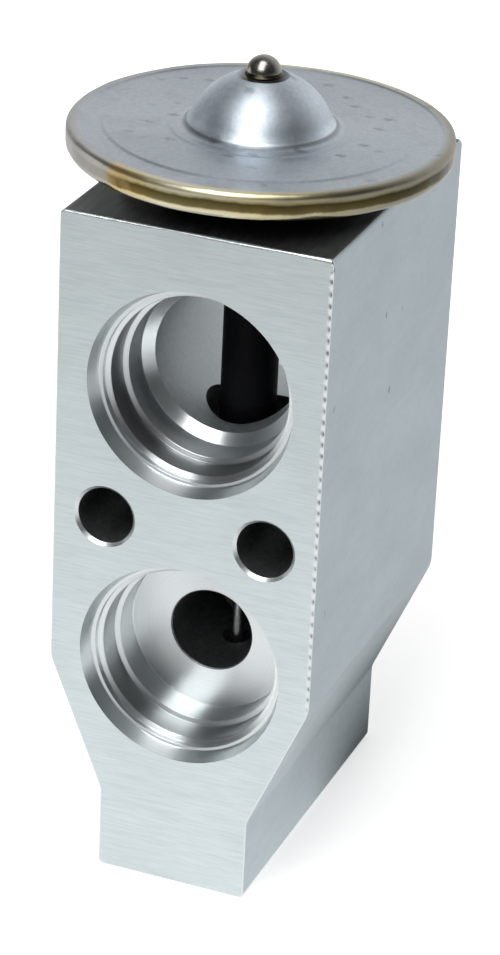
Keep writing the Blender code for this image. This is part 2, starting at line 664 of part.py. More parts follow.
def ball(name, radius, centre_height, material):
    mesh = bpy.data.meshes.new(name)
    shape = bmesh.new()
    bmesh.ops.create_uvsphere(shape, u_segments=SMALL_FACETS, v_segments=BALL_RINGS, radius=radius)
    shape.to_mesh(mesh)
    shape.free()
    mesh.shade_smooth()
    obj = place(bpy.data.objects.new(name, mesh), material, PARTS)
    obj.location = (0, AXIS_Y, centre_height)


def ring(name, inner_radius, thickness, underside):
    """A seal ring of round section."""
    bpy.ops.mesh.primitive_torus_add(
        major_radius=inner_radius + thickness / 2,
        minor_radius=thickness / 2,
        major_segments=MEDIUM_FACETS,
        minor_segments=RING_FACETS,
        location=(0, AXIS_Y, underside + thickness / 2),
    )
    obj = bpy.context.object
    obj.name = name
    obj.data.name = name
    obj.data.shade_smooth()
    obj.users_collection[0].objects.unlink(obj)
    place(obj, GREEN_RUBBER, PARTS)


def sensing_rod():
    profile = [
        (0, STOP_PLATE_UNDERSIDE + ROD_STUB_LENGTH),
        (ROD_STUB_RADIUS, STOP_PLATE_UNDERSIDE + ROD_STUB_LENGTH),
        (ROD_STUB_RADIUS, ROD_SHOULDER),
        (ROD_FLANGE_RADIUS, ROD_SHOULDER),
        (ROD_FLANGE_RADIUS, ROD_FLANGE_UNDERSIDE),
        (ROD_RADIUS, ROD_FLANGE_UNDERSIDE),
        (ROD_RADIUS, ROD_BOTTOM),
        (PIN_HOLE_RADIUS, ROD_BOTTOM),
        (PIN_HOLE_RADIUS, ROD_BOTTOM + PIN_IN_ROD),
        (0, ROD_BOTTOM + PIN_IN_ROD),
    ]
    turned("sensing_rod", profile, SMALL_FACETS, TURNED_ALUMINIUM)


def rod_sleeve():
    top = ROD_FLANGE_UNDERSIDE - FIT_GAP
    bottom = RETAINER_TOP + SLEEVE_TO_RETAINER
    profile = [
        (SLEEVE_RADIUS, top),
        (SLEEVE_RADIUS, bottom),
        (SLEEVE_INNER_RADIUS, bottom),
        (SLEEVE_INNER_RADIUS, top),
    ]
    turned("rod_sleeve", profile, MEDIUM_FACETS, BLACK_PLASTIC)


def push_pin():
    top = ROD_BOTTOM + PIN_IN_ROD - FIT_GAP
    bottom = BALL_CENTRE + VALVE_BALL_RADIUS + FIT_GAP
    profile = [(0, top), (PIN_RADIUS, top), (PIN_RADIUS, bottom), (0, bottom)]
    turned("push_pin", profile, SMALL_FACETS, THIN_STAINLESS)


def slot_cutter(name, inner, outer, width, bottom, top, angle):
    """A box that cuts one radial slot about the stem axis."""
    mesh = bpy.data.meshes.new(name)
    shape = bmesh.new()
    bmesh.ops.create_cube(shape, size=1)
    for vert in shape.verts:
        vert.co.x = inner + (vert.co.x + 0.5) * (outer - inner)
        vert.co.y *= width
        vert.co.z = bottom + (vert.co.z + 0.5) * (top - bottom)
    shape.to_mesh(mesh)
    shape.free()
    obj = place(bpy.data.objects.new(name, mesh), None, CUTTERS)
    obj.location = (0, AXIS_Y, 0)
    obj.rotation_euler = (0, 0, angle)
    return obj


def o_ring_retainer():
    outer = SEAL_POCKET_RADIUS - FIT_GAP
    inner = outer - RETAINER_WIDTH
    profile = [
        (outer, RETAINER_TOP),
        (outer, RETAINER_UNDERSIDE),
        (inner, RETAINER_UNDERSIDE),
        (inner, RETAINER_TOP),
    ]
    washer = turned("o_ring_retainer", profile, MEDIUM_FACETS, THIN_STAINLESS)
    for k in range(RETAINER_TEETH):
        angle = 2 * math.pi * k / RETAINER_TEETH
        notch_inner = outer - RETAINER_NOTCH_DEPTH
        bottom, top = RETAINER_UNDERSIDE - CUT_MARGIN, RETAINER_TOP + CUT_MARGIN
        reach = outer + CUT_MARGIN
        name = f"retainer_notch_{k + 1}"
        cut(washer, slot_cutter(name, notch_inner, reach, RETAINER_NOTCH, bottom, top, angle))


def ball_holder():
    """Turned cup that the ball sits in, on a disc, with a stem that centres the spring."""
    cup_radius = VALVE_BALL_RADIUS + FIT_GAP
    rim_angle = math.asin((HOLDER_CUP - VALVE_BALL_RADIUS) / cup_radius)
    cup = arc((0, BALL_CENTRE), cup_radius, -math.pi / 2, rim_angle)
    rim_radius, rim_height = cup[-1]
    stem_bottom = HOLDER_UNDERSIDE - HOLDER_STEM_LENGTH
    profile = cup + [
        (HOLDER_RADIUS - HOLDER_TAPER, rim_height),
        (HOLDER_RADIUS, HOLDER_UNDERSIDE + HOLDER_FLOOR),
        (HOLDER_RADIUS, HOLDER_UNDERSIDE),
        (HOLDER_STEM_RADIUS, HOLDER_UNDERSIDE),
        (HOLDER_STEM_RADIUS, stem_bottom + HOLDER_STEM_CHAMFER),
        (HOLDER_STEM_RADIUS - HOLDER_STEM_CHAMFER, stem_bottom),
        (0, stem_bottom),
    ]
    turned("ball_holder", profile, SMALL_FACETS, TURNED_ALUMINIUM)


def damper_spring():
    """Spring-steel washer under the ball holder, its edge turned up and slotted into fingers."""
    washer_top = DAMPER_UNDERSIDE + DAMPER
    top = DAMPER_UNDERSIDE + DAMPER_HEIGHT
    hole = HOLDER_STEM_RADIUS + FIT_GAP
    profile = [
        (DAMPER_RADIUS, top),
        (DAMPER_RADIUS, DAMPER_UNDERSIDE),
        (hole, DAMPER_UNDERSIDE),
        (hole, washer_top),
        (DAMPER_RADIUS - DAMPER, washer_top),
        (DAMPER_RADIUS - DAMPER, top),
    ]
    damper = turned("damper_spring", profile, MEDIUM_FACETS, THIN_STAINLESS)
    for k in range(DAMPER_FINGERS):
        angle = 2 * math.pi * (k + 0.5) / DAMPER_FINGERS
        inner = DAMPER_RADIUS - DAMPER - FIT_GAP
        bottom, reach = washer_top + DAMPER, DAMPER_RADIUS + CUT_MARGIN
        name = f"damper_slot_{k + 1}"
        cut(damper, slot_cutter(name, inner, reach, DAMPER_SLOT, bottom, top + CUT_MARGIN, angle))


def superheat_spring():
    """Coil spring with one closed turn at each end, between the screw and the damper."""
    bottom = SCREW_POCKET_FLOOR + FIT_GAP + SPRING_WIRE / 2
    top = DAMPER_UNDERSIDE - FIT_GAP - SPRING_WIRE / 2
    end_pitch = SPRING_WIRE + SPRING_END_GAP
    open_pitch = (top - bottom - 2 * end_pitch) / SPRING_OPEN_TURNS
    heights = [0, end_pitch, end_pitch + open_pitch * SPRING_OPEN_TURNS, top - bottom]
    turns = [0, 1, 1 + SPRING_OPEN_TURNS, 2 + SPRING_OPEN_TURNS]
    curve = bpy.data.curves.new("superheat_spring", "CURVE")
    curve.dimensions = "3D"
    curve.bevel_depth = SPRING_WIRE / 2
    curve.bevel_resolution = 2
    curve.use_fill_caps = True
    spline = curve.splines.new("POLY")
    count = SPRING_FACETS * turns[-1]
    spline.points.add(count)
    for k, point in enumerate(spline.points):
        turn = k / SPRING_FACETS
        stretch = max(n for n, begun in enumerate(turns[:-1]) if begun <= turn)
        share = (turn - turns[stretch]) / (turns[stretch + 1] - turns[stretch])
        height = heights[stretch] + share * (heights[stretch + 1] - heights[stretch])
        angle = 2 * math.pi * turn
        x, y = SPRING_MEAN_RADIUS * math.cos(angle), SPRING_MEAN_RADIUS * math.sin(angle)
        point.co = (x, y, bottom + height, 1)
    obj = place(bpy.data.objects.new("superheat_spring", curve), THIN_STAINLESS, PARTS)
    obj.location = (0, AXIS_Y, 0)


def hex_cutter():
    mesh = bpy.data.meshes.new("hex_socket")
    shape = bmesh.new()
    corner_radius = HEX_ACROSS_FLATS / math.sqrt(3)
    bmesh.ops.create_cone(
        shape,
        cap_ends=True,
        segments=6,
        radius1=corner_radius,
        radius2=corner_radius,
        depth=HEX_DEPTH + CUT_MARGIN,
    )
    shape.to_mesh(mesh)
    shape.free()
    obj = place(bpy.data.objects.new("hex_socket", mesh), None, CUTTERS)
    obj.location = (0, AXIS_Y, SCREW_RECESS + (HEX_DEPTH - CUT_MARGIN) / 2)
    return obj


def adjusting_screw():
    profile = [
        (0, SCREW_POCKET_FLOOR),
        (SCREW_POCKET_RADIUS, SCREW_POCKET_FLOOR),
        (SCREW_POCKET_RADIUS, SCREW_TOP),
        (SCREW_SEAL_RADIUS - SCREW_CHAMFER, SCREW_TOP),
        (SCREW_SEAL_RADIUS, SCREW_TOP - SCREW_CHAMFER),
        (SCREW_SEAL_RADIUS, SCREW_GROOVE_TOP),
        (SCREW_GROOVE_RADIUS, SCREW_GROOVE_TOP),
        (SCREW_GROOVE_RADIUS, THREAD_BORE_TOP),
        (SCREW_SEAL_RADIUS, THREAD_BORE_TOP),
        (SCREW_SEAL_RADIUS, SCREW_THREAD_TOP),
        (SCREW_RADIUS, SCREW_THREAD_TOP),
        (SCREW_RADIUS, SCREW_RECESS + SCREW_CHAMFER),
        (SCREW_RADIUS - SCREW_CHAMFER, SCREW_RECESS),
        (0, SCREW_RECESS),
    ]
    screw = turned("adjusting_screw", profile, MEDIUM_FACETS, TURNED_ALUMINIUM)
    cut(screw, hex_cutter())


valve_body()
head_upper_housing()
head_lower_housing()
diaphragm()
diaphragm_stop_plate()
ball("charge_seal_ball", CHARGE_BALL_RADIUS, charge_ball_centre(), BALL_STEEL)
ring("head_o_ring", HEAD_NECK_RADIUS + FIT_GAP, HEAD_RING, RING_RECESS_FLOOR + FIT_GAP)
sensing_rod()
rod_sleeve()
ring("rod_o_ring", ROD_RADIUS + FIT_GAP, ROD_RING, SEAL_POCKET_FLOOR + FIT_GAP)
o_ring_retainer()
push_pin()
ball("valve_ball", VALVE_BALL_RADIUS, BALL_CENTRE, BALL_STEEL)
ball_holder()
damper_spring()
superheat_spring()
adjusting_screw()
ring("screw_o_ring", SCREW_GROOVE_RADIUS + FIT_GAP, SCREW_RING, THREAD_BORE_TOP + FIT_GAP)
shade(PARTS.objects)
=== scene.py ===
"""The finish of a block-type expansion valve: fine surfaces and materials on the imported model's frame.

Lengths are in metres, unless a name says otherwise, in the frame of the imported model.
"""

import math

import bmesh
import bpy
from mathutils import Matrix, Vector, noise

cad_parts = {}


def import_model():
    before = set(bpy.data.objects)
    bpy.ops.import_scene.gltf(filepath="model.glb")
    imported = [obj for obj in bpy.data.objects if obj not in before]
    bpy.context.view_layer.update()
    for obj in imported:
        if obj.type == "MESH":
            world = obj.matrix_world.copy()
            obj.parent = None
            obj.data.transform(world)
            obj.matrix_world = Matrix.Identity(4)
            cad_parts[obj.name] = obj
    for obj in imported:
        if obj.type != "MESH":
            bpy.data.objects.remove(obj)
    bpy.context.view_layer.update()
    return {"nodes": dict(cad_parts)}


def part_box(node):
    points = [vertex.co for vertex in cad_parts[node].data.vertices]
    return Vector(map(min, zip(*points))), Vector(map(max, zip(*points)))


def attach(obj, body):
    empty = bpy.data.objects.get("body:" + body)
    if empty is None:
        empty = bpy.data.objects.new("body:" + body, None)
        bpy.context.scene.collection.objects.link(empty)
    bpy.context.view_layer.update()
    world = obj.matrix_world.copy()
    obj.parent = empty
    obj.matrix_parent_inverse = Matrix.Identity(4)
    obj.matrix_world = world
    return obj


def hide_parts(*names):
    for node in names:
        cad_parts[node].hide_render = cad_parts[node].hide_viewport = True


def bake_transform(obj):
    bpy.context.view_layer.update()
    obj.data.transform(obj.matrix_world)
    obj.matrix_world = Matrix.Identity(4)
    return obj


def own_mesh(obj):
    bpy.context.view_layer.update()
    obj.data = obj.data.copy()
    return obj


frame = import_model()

MM = 0.001

# Places read from the frame
BLOCK_LOW, BLOCK_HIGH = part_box("valve_body")
BALL_LOW, BALL_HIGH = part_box("charge_seal_ball")
SLEEVE_LOW, SLEEVE_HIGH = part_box("rod_sleeve")
PIN_LOW, PIN_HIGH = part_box("push_pin")
SHEET_LOW, SHEET_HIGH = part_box("diaphragm")
SPRING_LOW, SPRING_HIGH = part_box("superheat_spring")
FRONT_Y, REAR_Y = BLOCK_LOW.y, BLOCK_HIGH.y
HEAD_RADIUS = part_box("head_upper_housing")[1].x
BLOCK_WIDTH, BLOCK_DEPTH, BLOCK_HEIGHT = BLOCK_HIGH - BLOCK_LOW
AXIS_Y = (SLEEVE_LOW.y + SLEEVE_HIGH.y) / 2
AXIS_DEPTH = AXIS_Y - FRONT_Y

# Block outline, seen from the front
NECK_WIDTH = 19.0 * MM
SHOULDER_BOTTOM = 10.5 * MM
SHOULDER_TOP = 27.0 * MM
SHOULDER_RADIUS = 4.5 * MM
NECK_RADIUS = 2.5 * MM
BASE_CORNER_RADIUS = 0.7 * MM
TOP_CORNER_RADIUS = 0.6 * MM
OUTLINE_STEP = 0.18 * MM

# Ports and holes
PORT_MOUTH_RADIUS = 12.7 * MM
PORT_STEPS_MM = [
    (0.0, 0.0, 0.08),
    (2.0, 0.65, 0.08),
    (2.03, 1.07, 0.06),
    (2.8, 1.07, 0.10),
    (3.1, 1.68, 0.10),
    (6.4, 1.68, 0.10),
    (6.6, 2.36, 0.10),
    (10.3, 2.36, 0.14),
]
PORT_DEPTH = PORT_STEPS_MM[-1][0] * MM
SUCTION_HEIGHT = 64.4 * MM
SUCTION_RADIUS = 9.05 * MM
SUCTION_CONE_DEPTH = 11.4 * MM
PASSAGE_OVERLAP = 0.1 * MM
OUTLET_HEIGHT = 29.5 * MM
OUTLET_HOLE_RADIUS = 5.15 * MM
OUTLET_HOLE_PAST_AXIS = 5.5 * MM
INLET_HEIGHT = 18.55 * MM
INLET_MOUTH_RADIUS = 8.0 * MM
INLET_HOLE_RADIUS = 3.5 * MM
BOLT_HOLE_RADIUS = 3.5 * MM
BOLT_SPACING = 20.0 * MM
BOLT_HEIGHT = 47.0 * MM
HOLE_CHAMFER = 0.38 * MM
FLANGE_HOLE_RADIUS = 3.4 * MM
FLANGE_HOLE_HEIGHT = 39.6 * MM
FLANGE_HOLE_DEPTH = 14.0 * MM
DRILL_POINT_ANGLE = math.radians(118)
CUT_MARGIN = 2.0 * MM
HOLE_LIP = 0.15 * MM
INLET_CONE = 1.1 * MM

# Radius and lower end of each bore along the stem, from the top of the block down
STEM_BORES = [
    (11.4 * MM, 83.2 * MM),
    (9.3 * MM, 76.6 * MM),
    (5.5 * MM, SUCTION_HEIGHT),
    (5.05 * MM, 49.25 * MM),
    (1.0 * MM, OUTLET_HEIGHT),
    (1.8 * MM, 22.55 * MM),
    (5.2 * MM, 11.7 * MM),
    (6.7 * MM, 6.5 * MM),
    (7.3 * MM, -CUT_MARGIN),
]

# Facets of fine turned shapes, and the angle from which an edge is crisp
FINE_FACETS = 160
SMALL_FACETS = 96
PIN_FACETS = 48
BALL_SUBDIVISIONS = 5
ARC_FACET = math.radians(10)
DOME_FACET = math.radians(3)
CRISP_ANGLE = math.radians(32)
STRAIGHT_HALF_ANGLE = math.radians(89)
MERGE_DISTANCE = 1e-7
FLAT_COSINE = 0.9999

# How much of an edge a fillet may use: less where the edge's other corner is round too
SHARED_EDGE = 0.49
WHOLE_EDGE = 0.99

# Camera, found by fitting the block's corners and port rims
CAMERA_PLACE = (135.915 * MM, -359.28 * MM, 228.698 * MM)
CAMERA_TURN = tuple(math.radians(angle) for angle in (64.4869, -2.4832, 21.8736))
CAMERA_LENS_MM = 132.836
CAMERA_SENSOR_MM = 36.0
CAMERA_CLIP_START = 0.01


def link(obj):
    bpy.context.scene.collection.objects.link(obj)
    return obj


def delete(obj):
    bpy.data.objects.remove(obj, do_unlink=True)


def add(tree, kind, settings=None, inputs=None):
    """A node, with its settings, and its inputs given as values or as sockets to link."""
    node = tree.nodes.new(kind)
    for name, value in (settings or {}).items():
        setattr(node, name, value)
    for name, value in (inputs or {}).items():
        if isinstance(value, bpy.types.NodeSocket):
            tree.links.new(value, node.inputs[name])
        else:
            node.inputs[name].default_value = value
    return node


def material(name, **constants):
    """A new material with its tree and its shader, whose sockets are given by name."""
    made = bpy.data.materials.new(name)
    made.use_nodes = True
    shader = made.node_tree.nodes["Principled BSDF"]
    for socket, value in constants.items():
        shader.inputs[socket.replace("_", " ")].default_value = value
    return made, made.node_tree, shader


def coordinates(tree, per_mm):
    """The piece's own coordinates, multiplied to a number of pattern steps per millimetre."""
    place = add(tree, "ShaderNodeTexCoord")
    scale = tuple(steps / MM for steps in per_mm)
    mapping = add(tree, "ShaderNodeMapping", inputs={"Vector": place.outputs["Object"], "Scale": scale})
    return mapping.outputs["Vector"]


def cloud(tree, per_mm, detail=3.0, roughness=0.55, distortion=0.0):
    """Noise from 0 to 1, with its own number of steps per millimetre along each axis."""
    inputs = {
        "Vector": coordinates(tree, per_mm),
        "Scale": 1.0,
        "Detail": detail,
        "Roughness": roughness,
        "Distortion": distortion,
    }
    return add(tree, "ShaderNodeTexNoise", inputs=inputs).outputs["Fac"]


def ramp(tree, factor, stops):
    """A colour ramp from (place, grey or colour) stops."""
    node = add(tree, "ShaderNodeValToRGB", inputs={"Fac": factor})
    elements = node.color_ramp.elements
    while len(elements) < len(stops):
        elements.new(1.0)
    for element, (place, colour) in zip(elements, stops):
        element.position = place
        if not isinstance(colour, tuple):
            colour = (colour, colour, colour)
        element.color = (*colour, 1.0)
    return node.outputs["Color"]


def spread(tree, value, low, high):
    """Moves a 0 to 1 field to another range."""
    inputs = {"Value": value, "To Min": low, "To Max": high}
    return add(tree, "ShaderNodeMapRange", inputs=inputs).outputs["Result"]


def mix(tree, factor, first, second, blend="MIX"):
    """Two colours or values, mixed from the first at factor 0 to the second at factor 1."""
    inputs = {"Fac": factor, "Color1": first, "Color2": second}
    return add(tree, "ShaderNodeMixRGB", {"blend_type": blend}, inputs).outputs["Color"]


def multiply(tree, first, second):
    """Two colours multiplied."""
    return mix(tree, 1.0, first, second, blend="MULTIPLY")


def math_node(tree, operation, first, second=0.0):
    """The result of one sum on numbers or sockets."""
    node = add(tree, "ShaderNodeMath", {"operation": operation})
    for socket, value in zip(node.inputs, (first, second)):
        if isinstance(value, bpy.types.NodeSocket):
            tree.links.new(value, socket)
        else:
            socket.default_value = value
    return node.outputs["Value"]


def ragged(tree, value, field, reach):
    """A value moved up and down by a 0 to 1 field, by a reach at most."""
    return math_node(tree, "ADD", value, spread(tree, field, -reach, reach))


def cells(tree, per_mm):
    """Distance from scattered points, with a number of cells per millimetre along each axis."""
    inputs = {"Vector": coordinates(tree, per_mm), "Scale": 1.0, "Randomness": 1.0}
    return add(tree, "ShaderNodeTexVoronoi", inputs=inputs).outputs["Distance"]


def bump(tree, height, distance, normal=None):
    """A normal that follows a height field, on top of another normal if one is given."""
    inputs = {"Height": height, "Distance": distance, "Strength": 1.0}
    if normal:
        inputs["Normal"] = normal
    return add(tree, "ShaderNodeBump", inputs=inputs).outputs["Normal"]


def vector_math(tree, operation, *inputs):
    """The node of one sum on vectors."""
    return add(tree, "ShaderNodeVectorMath", {"operation": operation}, dict(enumerate(inputs)))


def offset_from(tree, centre):
    """The way from a point, in the piece's own coordinates."""
    place = add(tree, "ShaderNodeTexCoord").outputs["Object"]
    return vector_math(tree, "SUBTRACT", place, centre).outputs["Vector"]


def radius_about(tree, centre, axis):
    """Distance in millimetres from an axis, as a socket."""
    keep = tuple(0.0 if part else 1.0 / MM for part in axis)
    flat = vector_math(tree, "MULTIPLY", offset_from(tree, centre), keep)
    return vector_math(tree, "LENGTH", flat.outputs["Vector"]).outputs["Value"]


def tangent_about(tree, centre, axis):
    """Direction of tool marks that run in circles about an axis."""
    turn = vector_math(tree, "CROSS_PRODUCT", axis, offset_from(tree, centre))
    return vector_math(tree, "NORMALIZE", turn.outputs["Vector"]).outputs["Vector"]


def along_axis(tree, axis):
    """The piece's own coordinate along an axis in millimetres, as a socket."""
    place = coordinates(tree, (1.0, 1.0, 1.0))
    return add(tree, "ShaderNodeSeparateXYZ", inputs={0: place}).outputs[axis]


def across_share(tree, value, low, high):
    """How far a length lies between two others, from 0 to 1."""
    inputs = {"Value": value, "From Min": low, "From Max": high}
    return add(tree, "ShaderNodeMapRange", inputs=inputs).outputs["Result"]


# Materials: tones are (place, colour) stops, and roughnesses are the least and the most
MILLED_TONES = [
    (0.36, (0.69, 0.77, 0.79)),
    (0.50, (0.765, 0.845, 0.862)),
    (0.64, (0.82, 0.90, 0.915)),
]
MILLED_ROUGHNESS = (0.32, 0.50)
MILLED_FINE_SHARE = 0.72
SIDE_TONES = [
    (0.30, (0.54, 0.61, 0.64)),
    (0.52, (0.58, 0.655, 0.69)),
    (0.74, (0.62, 0.695, 0.73)),
]
SIDE_ROUGHNESS = (0.46, 0.60)
SIDE_GRAIN_SHARE = 0.65
PIT_COLOUR = (0.28, 0.31, 0.34, 1.0)
BORE_TONES = [
    (0.30, (0.80, 0.84, 0.855)),
    (0.70, (0.89, 0.93, 0.94)),
]
BORE_RINGS_PER_MM = 9.0
BORE_BANDS_DEPTH_MM = 12.0
# Painted shade: the holes' aluminium is painted dark for the shade inside them
HOLE_PAINTED_SHADE_TONES = [
    (0.30, (0.20, 0.205, 0.21)),
    (0.70, (0.34, 0.35, 0.36)),
]
HOLE_ROUGHNESS = (0.42, 0.60)
COVER_TONES = [
    (0.30, (0.37, 0.41, 0.455)),
    (0.70, (0.455, 0.50, 0.54)),
]
COVER_ROUGHNESS = (0.34, 0.44)

# Zones of the cover: from and to, in millimetres from the stem axis
SEAT_TINT_MM = (2.2, 3.2)
SATIN_DOME_MM = (7.0, 9.5)
DOME_PAINTED_LIGHT_MM = (0.0, 11.0)
WELDED_EDGE_MM = (20.9, 22.0)

# Heights above the base that the bead's painted dark reflection band and its polish span, in millimetres
BEAD_TONES_MM = (87.6, 91.1)

# Heat tint of the weld, from the left of the head to its right
WELD_TINTS = [
    (0.00, (0.36, 0.36, 0.35)),
    (0.22, (0.46, 0.45, 0.42)),
    (0.29, (0.66, 0.50, 0.24)),
    (0.38, (0.70, 0.60, 0.36)),
    (0.46, (0.74, 0.70, 0.52)),
    (0.66, (0.68, 0.61, 0.38)),
    (0.84, (0.33, 0.30, 0.20)),
    (1.00, (0.27, 0.26, 0.21)),
]

# Painted dark reflection on the bead, between its lower and its upper round
BEAD_PAINTED_DARK_REFLECTION = [
    (0.00, 1.0),
    (0.30, 1.0),
    (0.37, (0.30, 0.26, 0.15)),
    (0.62, (0.14, 0.12, 0.06)),
    (0.68, (0.60, 0.57, 0.45)),
    (0.74, 1.0),
]

# Painted light on the dome: the dome painted lighter, then a painted highlight ring and a painted shade line
# where it flares into its plate
DOME_PAINTED_LIGHT_TONES = [
    (0.36, 1.35),
    (0.55, 1.55),
    (0.72, 1.55),
    (0.75, 1.85),
    (0.775, 1.85),
    (0.79, 0.70),
    (0.81, 0.74),
    (0.84, 1.12),
    (0.90, 1.0),
]


def milled_face():
    """Face-milled aluminium, with fine uneven lines across the block."""
    made, tree, shader = material("milled_face", Metallic=1.0)
    coarse = cloud(tree, (0.06, 0.06, 1.3), detail=5.0, roughness=0.7)
    fine = cloud(tree, (0.26, 0.26, 4.4), detail=4.0, roughness=0.7)
    patches = cloud(tree, (0.12, 0.12, 0.16), detail=3.0)
    lines = mix(tree, MILLED_FINE_SHARE, coarse, fine)
    tone = ramp(tree, lines, MILLED_TONES)
    tint = ramp(tree, patches, [(0.35, 0.95), (0.65, 1.0)])
    tree.links.new(multiply(tree, tone, tint), shader.inputs["Base Color"])
    tree.links.new(spread(tree, fine, *MILLED_ROUGHNESS), shader.inputs["Roughness"])
    first = bump(tree, coarse, distance=0.008 * MM)
    tree.links.new(bump(tree, fine, distance=0.010 * MM, normal=first), shader.inputs["Normal"])
    return made


def extruded_side():
    """Extruded aluminium: faint die lines along the bar, small pits and rubbed marks."""
    made, tree, shader = material("extruded_side", Metallic=1.0)
    lines = cloud(tree, (1.4, 0.10, 1.4), detail=4.0, roughness=0.65)
    grain = cloud(tree, (1.3, 0.9, 1.3), detail=4.0, roughness=0.7)
    patches = cloud(tree, (0.16, 0.08, 0.16), detail=4.0)
    pits = ragged(tree, cells(tree, (0.16, 0.20, 0.12)), grain, reach=0.03)
    pit_mask = ramp(tree, pits, [(0.0, 1.0), (0.035, 0.8), (0.075, 0.0)])
    streaks = mix(tree, SIDE_GRAIN_SHARE, lines, grain)
    tone = ramp(tree, streaks, SIDE_TONES)
    tint = ramp(tree, patches, [(0.30, 0.91), (0.70, 1.0)])
    body = multiply(tree, tone, tint)
    tree.links.new(mix(tree, pit_mask, body, PIT_COLOUR), shader.inputs["Base Color"])
    tree.links.new(spread(tree, streaks, *SIDE_ROUGHNESS), shader.inputs["Roughness"])
    first = bump(tree, streaks, distance=0.006 * MM)
    sunk = math_node(tree, "SUBTRACT", 1.0, pit_mask)
    tree.links.new(bump(tree, sunk, distance=0.03 * MM, normal=first), shader.inputs["Normal"])
    return made


def turned_bore(name, height, roughness, painted_band_shade):
    """Bright turned aluminium, with tool marks in circles about a port's axis, and painted shade: a darker
    band on the seal bore and a slightly darker wall below it.
    """
    made, tree, shader = material(name, Metallic=1.0, Anisotropic=0.82, Anisotropic_Rotation=0.25)
    centre, along = (0.0, 0.0, height), (0.0, 1.0, 0.0)
    across = radius_about(tree, centre, along)
    depth = along_axis(tree, "Y")
    travel = math_node(tree, "ADD", across, depth)
    inputs = {"W": travel, "Scale": BORE_RINGS_PER_MM, "Detail": 3.0}
    grain = add(tree, "ShaderNodeTexNoise", {"noise_dimensions": "1D"}, inputs).outputs["Fac"]
    tone = ramp(tree, grain, BORE_TONES)
    middle = (FRONT_Y + REAR_Y) / 2 / MM
    off = math_node(tree, "ABSOLUTE", math_node(tree, "SUBTRACT", depth, middle))
    half_depth = BLOCK_DEPTH / 2 / MM
    inwards = across_share(tree, off, half_depth, half_depth - BORE_BANDS_DEPTH_MM)
    # Painted shade inside the port, by depth: a darker band on the seal bore and a slightly darker wall
    # below it
    painted_shade_bands = [
        (0.255, 0.95),
        (0.262, painted_band_shade),
        (0.53, painted_band_shade),
        (0.537, 1.0),
        (0.552, 0.85),
        (0.850, 0.80),
        (0.860, 1.0),
    ]
    tree.links.new(multiply(tree, tone, ramp(tree, inwards, painted_shade_bands)), shader.inputs["Base Color"])
    tree.links.new(spread(tree, grain, roughness - 0.04, roughness + 0.06), shader.inputs["Roughness"])
    tree.links.new(bump(tree, grain, distance=0.004 * MM), shader.inputs["Normal"])
    tree.links.new(tangent_about(tree, centre, along), shader.inputs["Tangent"])
    return made


def drilled_hole():
    """Drilled aluminium, dull, with shade painted dark inside."""
    made, tree, shader = material("drilled_hole", Metallic=1.0)
    grain = cloud(tree, (2.0, 2.0, 2.0), detail=4.0)
    tree.links.new(ramp(tree, grain, HOLE_PAINTED_SHADE_TONES), shader.inputs["Base Color"])
    tree.links.new(spread(tree, grain, *HOLE_ROUGHNESS), shader.inputs["Roughness"])
    tree.links.new(bump(tree, grain, distance=0.02 * MM), shader.inputs["Normal"])
    return made


def cover_plate(tree, across, grain, stains):
    """Colour of the dull plate: clouds, dark marks, the tone of the ball's seat, and painted light on the
    dome: a lighter dome, a painted highlight ring and a painted shade line at its foot.
    """
    clouded = ramp(tree, stains, [(0.30, 0.86), (0.50, 1.0), (1.0, 1.0)])
    plate = multiply(tree, ramp(tree, grain, COVER_TONES), clouded)
    spots = ragged(tree, cells(tree, (0.21, 0.34, 0.21)), grain, reach=0.14)
    plate = multiply(tree, plate, ramp(tree, spots, [(0.0, 0.58), (0.10, 0.70), (0.22, 1.0)]))
    seat = across_share(tree, across, *SEAT_TINT_MM)
    plate = multiply(tree, plate, ramp(tree, seat, [(0.0, (0.55, 0.52, 0.44)), (1.0, 1.0)]))
    # Painted light: the dome painted lighter, with a painted highlight ring and a painted shade line at its
    # foot
    foot = across_share(tree, across, *DOME_PAINTED_LIGHT_MM)
    return multiply(tree, plate, ramp(tree, foot, DOME_PAINTED_LIGHT_TONES))


def weld_colour(tree, stains, up_bead):
    """Heat tint of the bead from its left to its right, with a painted dark reflection band."""
    sideways = ragged(tree, along_axis(tree, "X"), stains, reach=5.0)
    from_left = across_share(tree, sideways, -HEAD_RADIUS / MM, HEAD_RADIUS / MM)
    shown = ramp(tree, from_left, [(0.20, 0.25), (0.34, 1.0)])
    # Painted dark reflection band across the bead's middle
    painted_dark_band = mix(tree, shown, (1, 1, 1, 1), ramp(tree, up_bead, BEAD_PAINTED_DARK_REFLECTION))
    return multiply(tree, ramp(tree, from_left, WELD_TINTS), painted_dark_band)


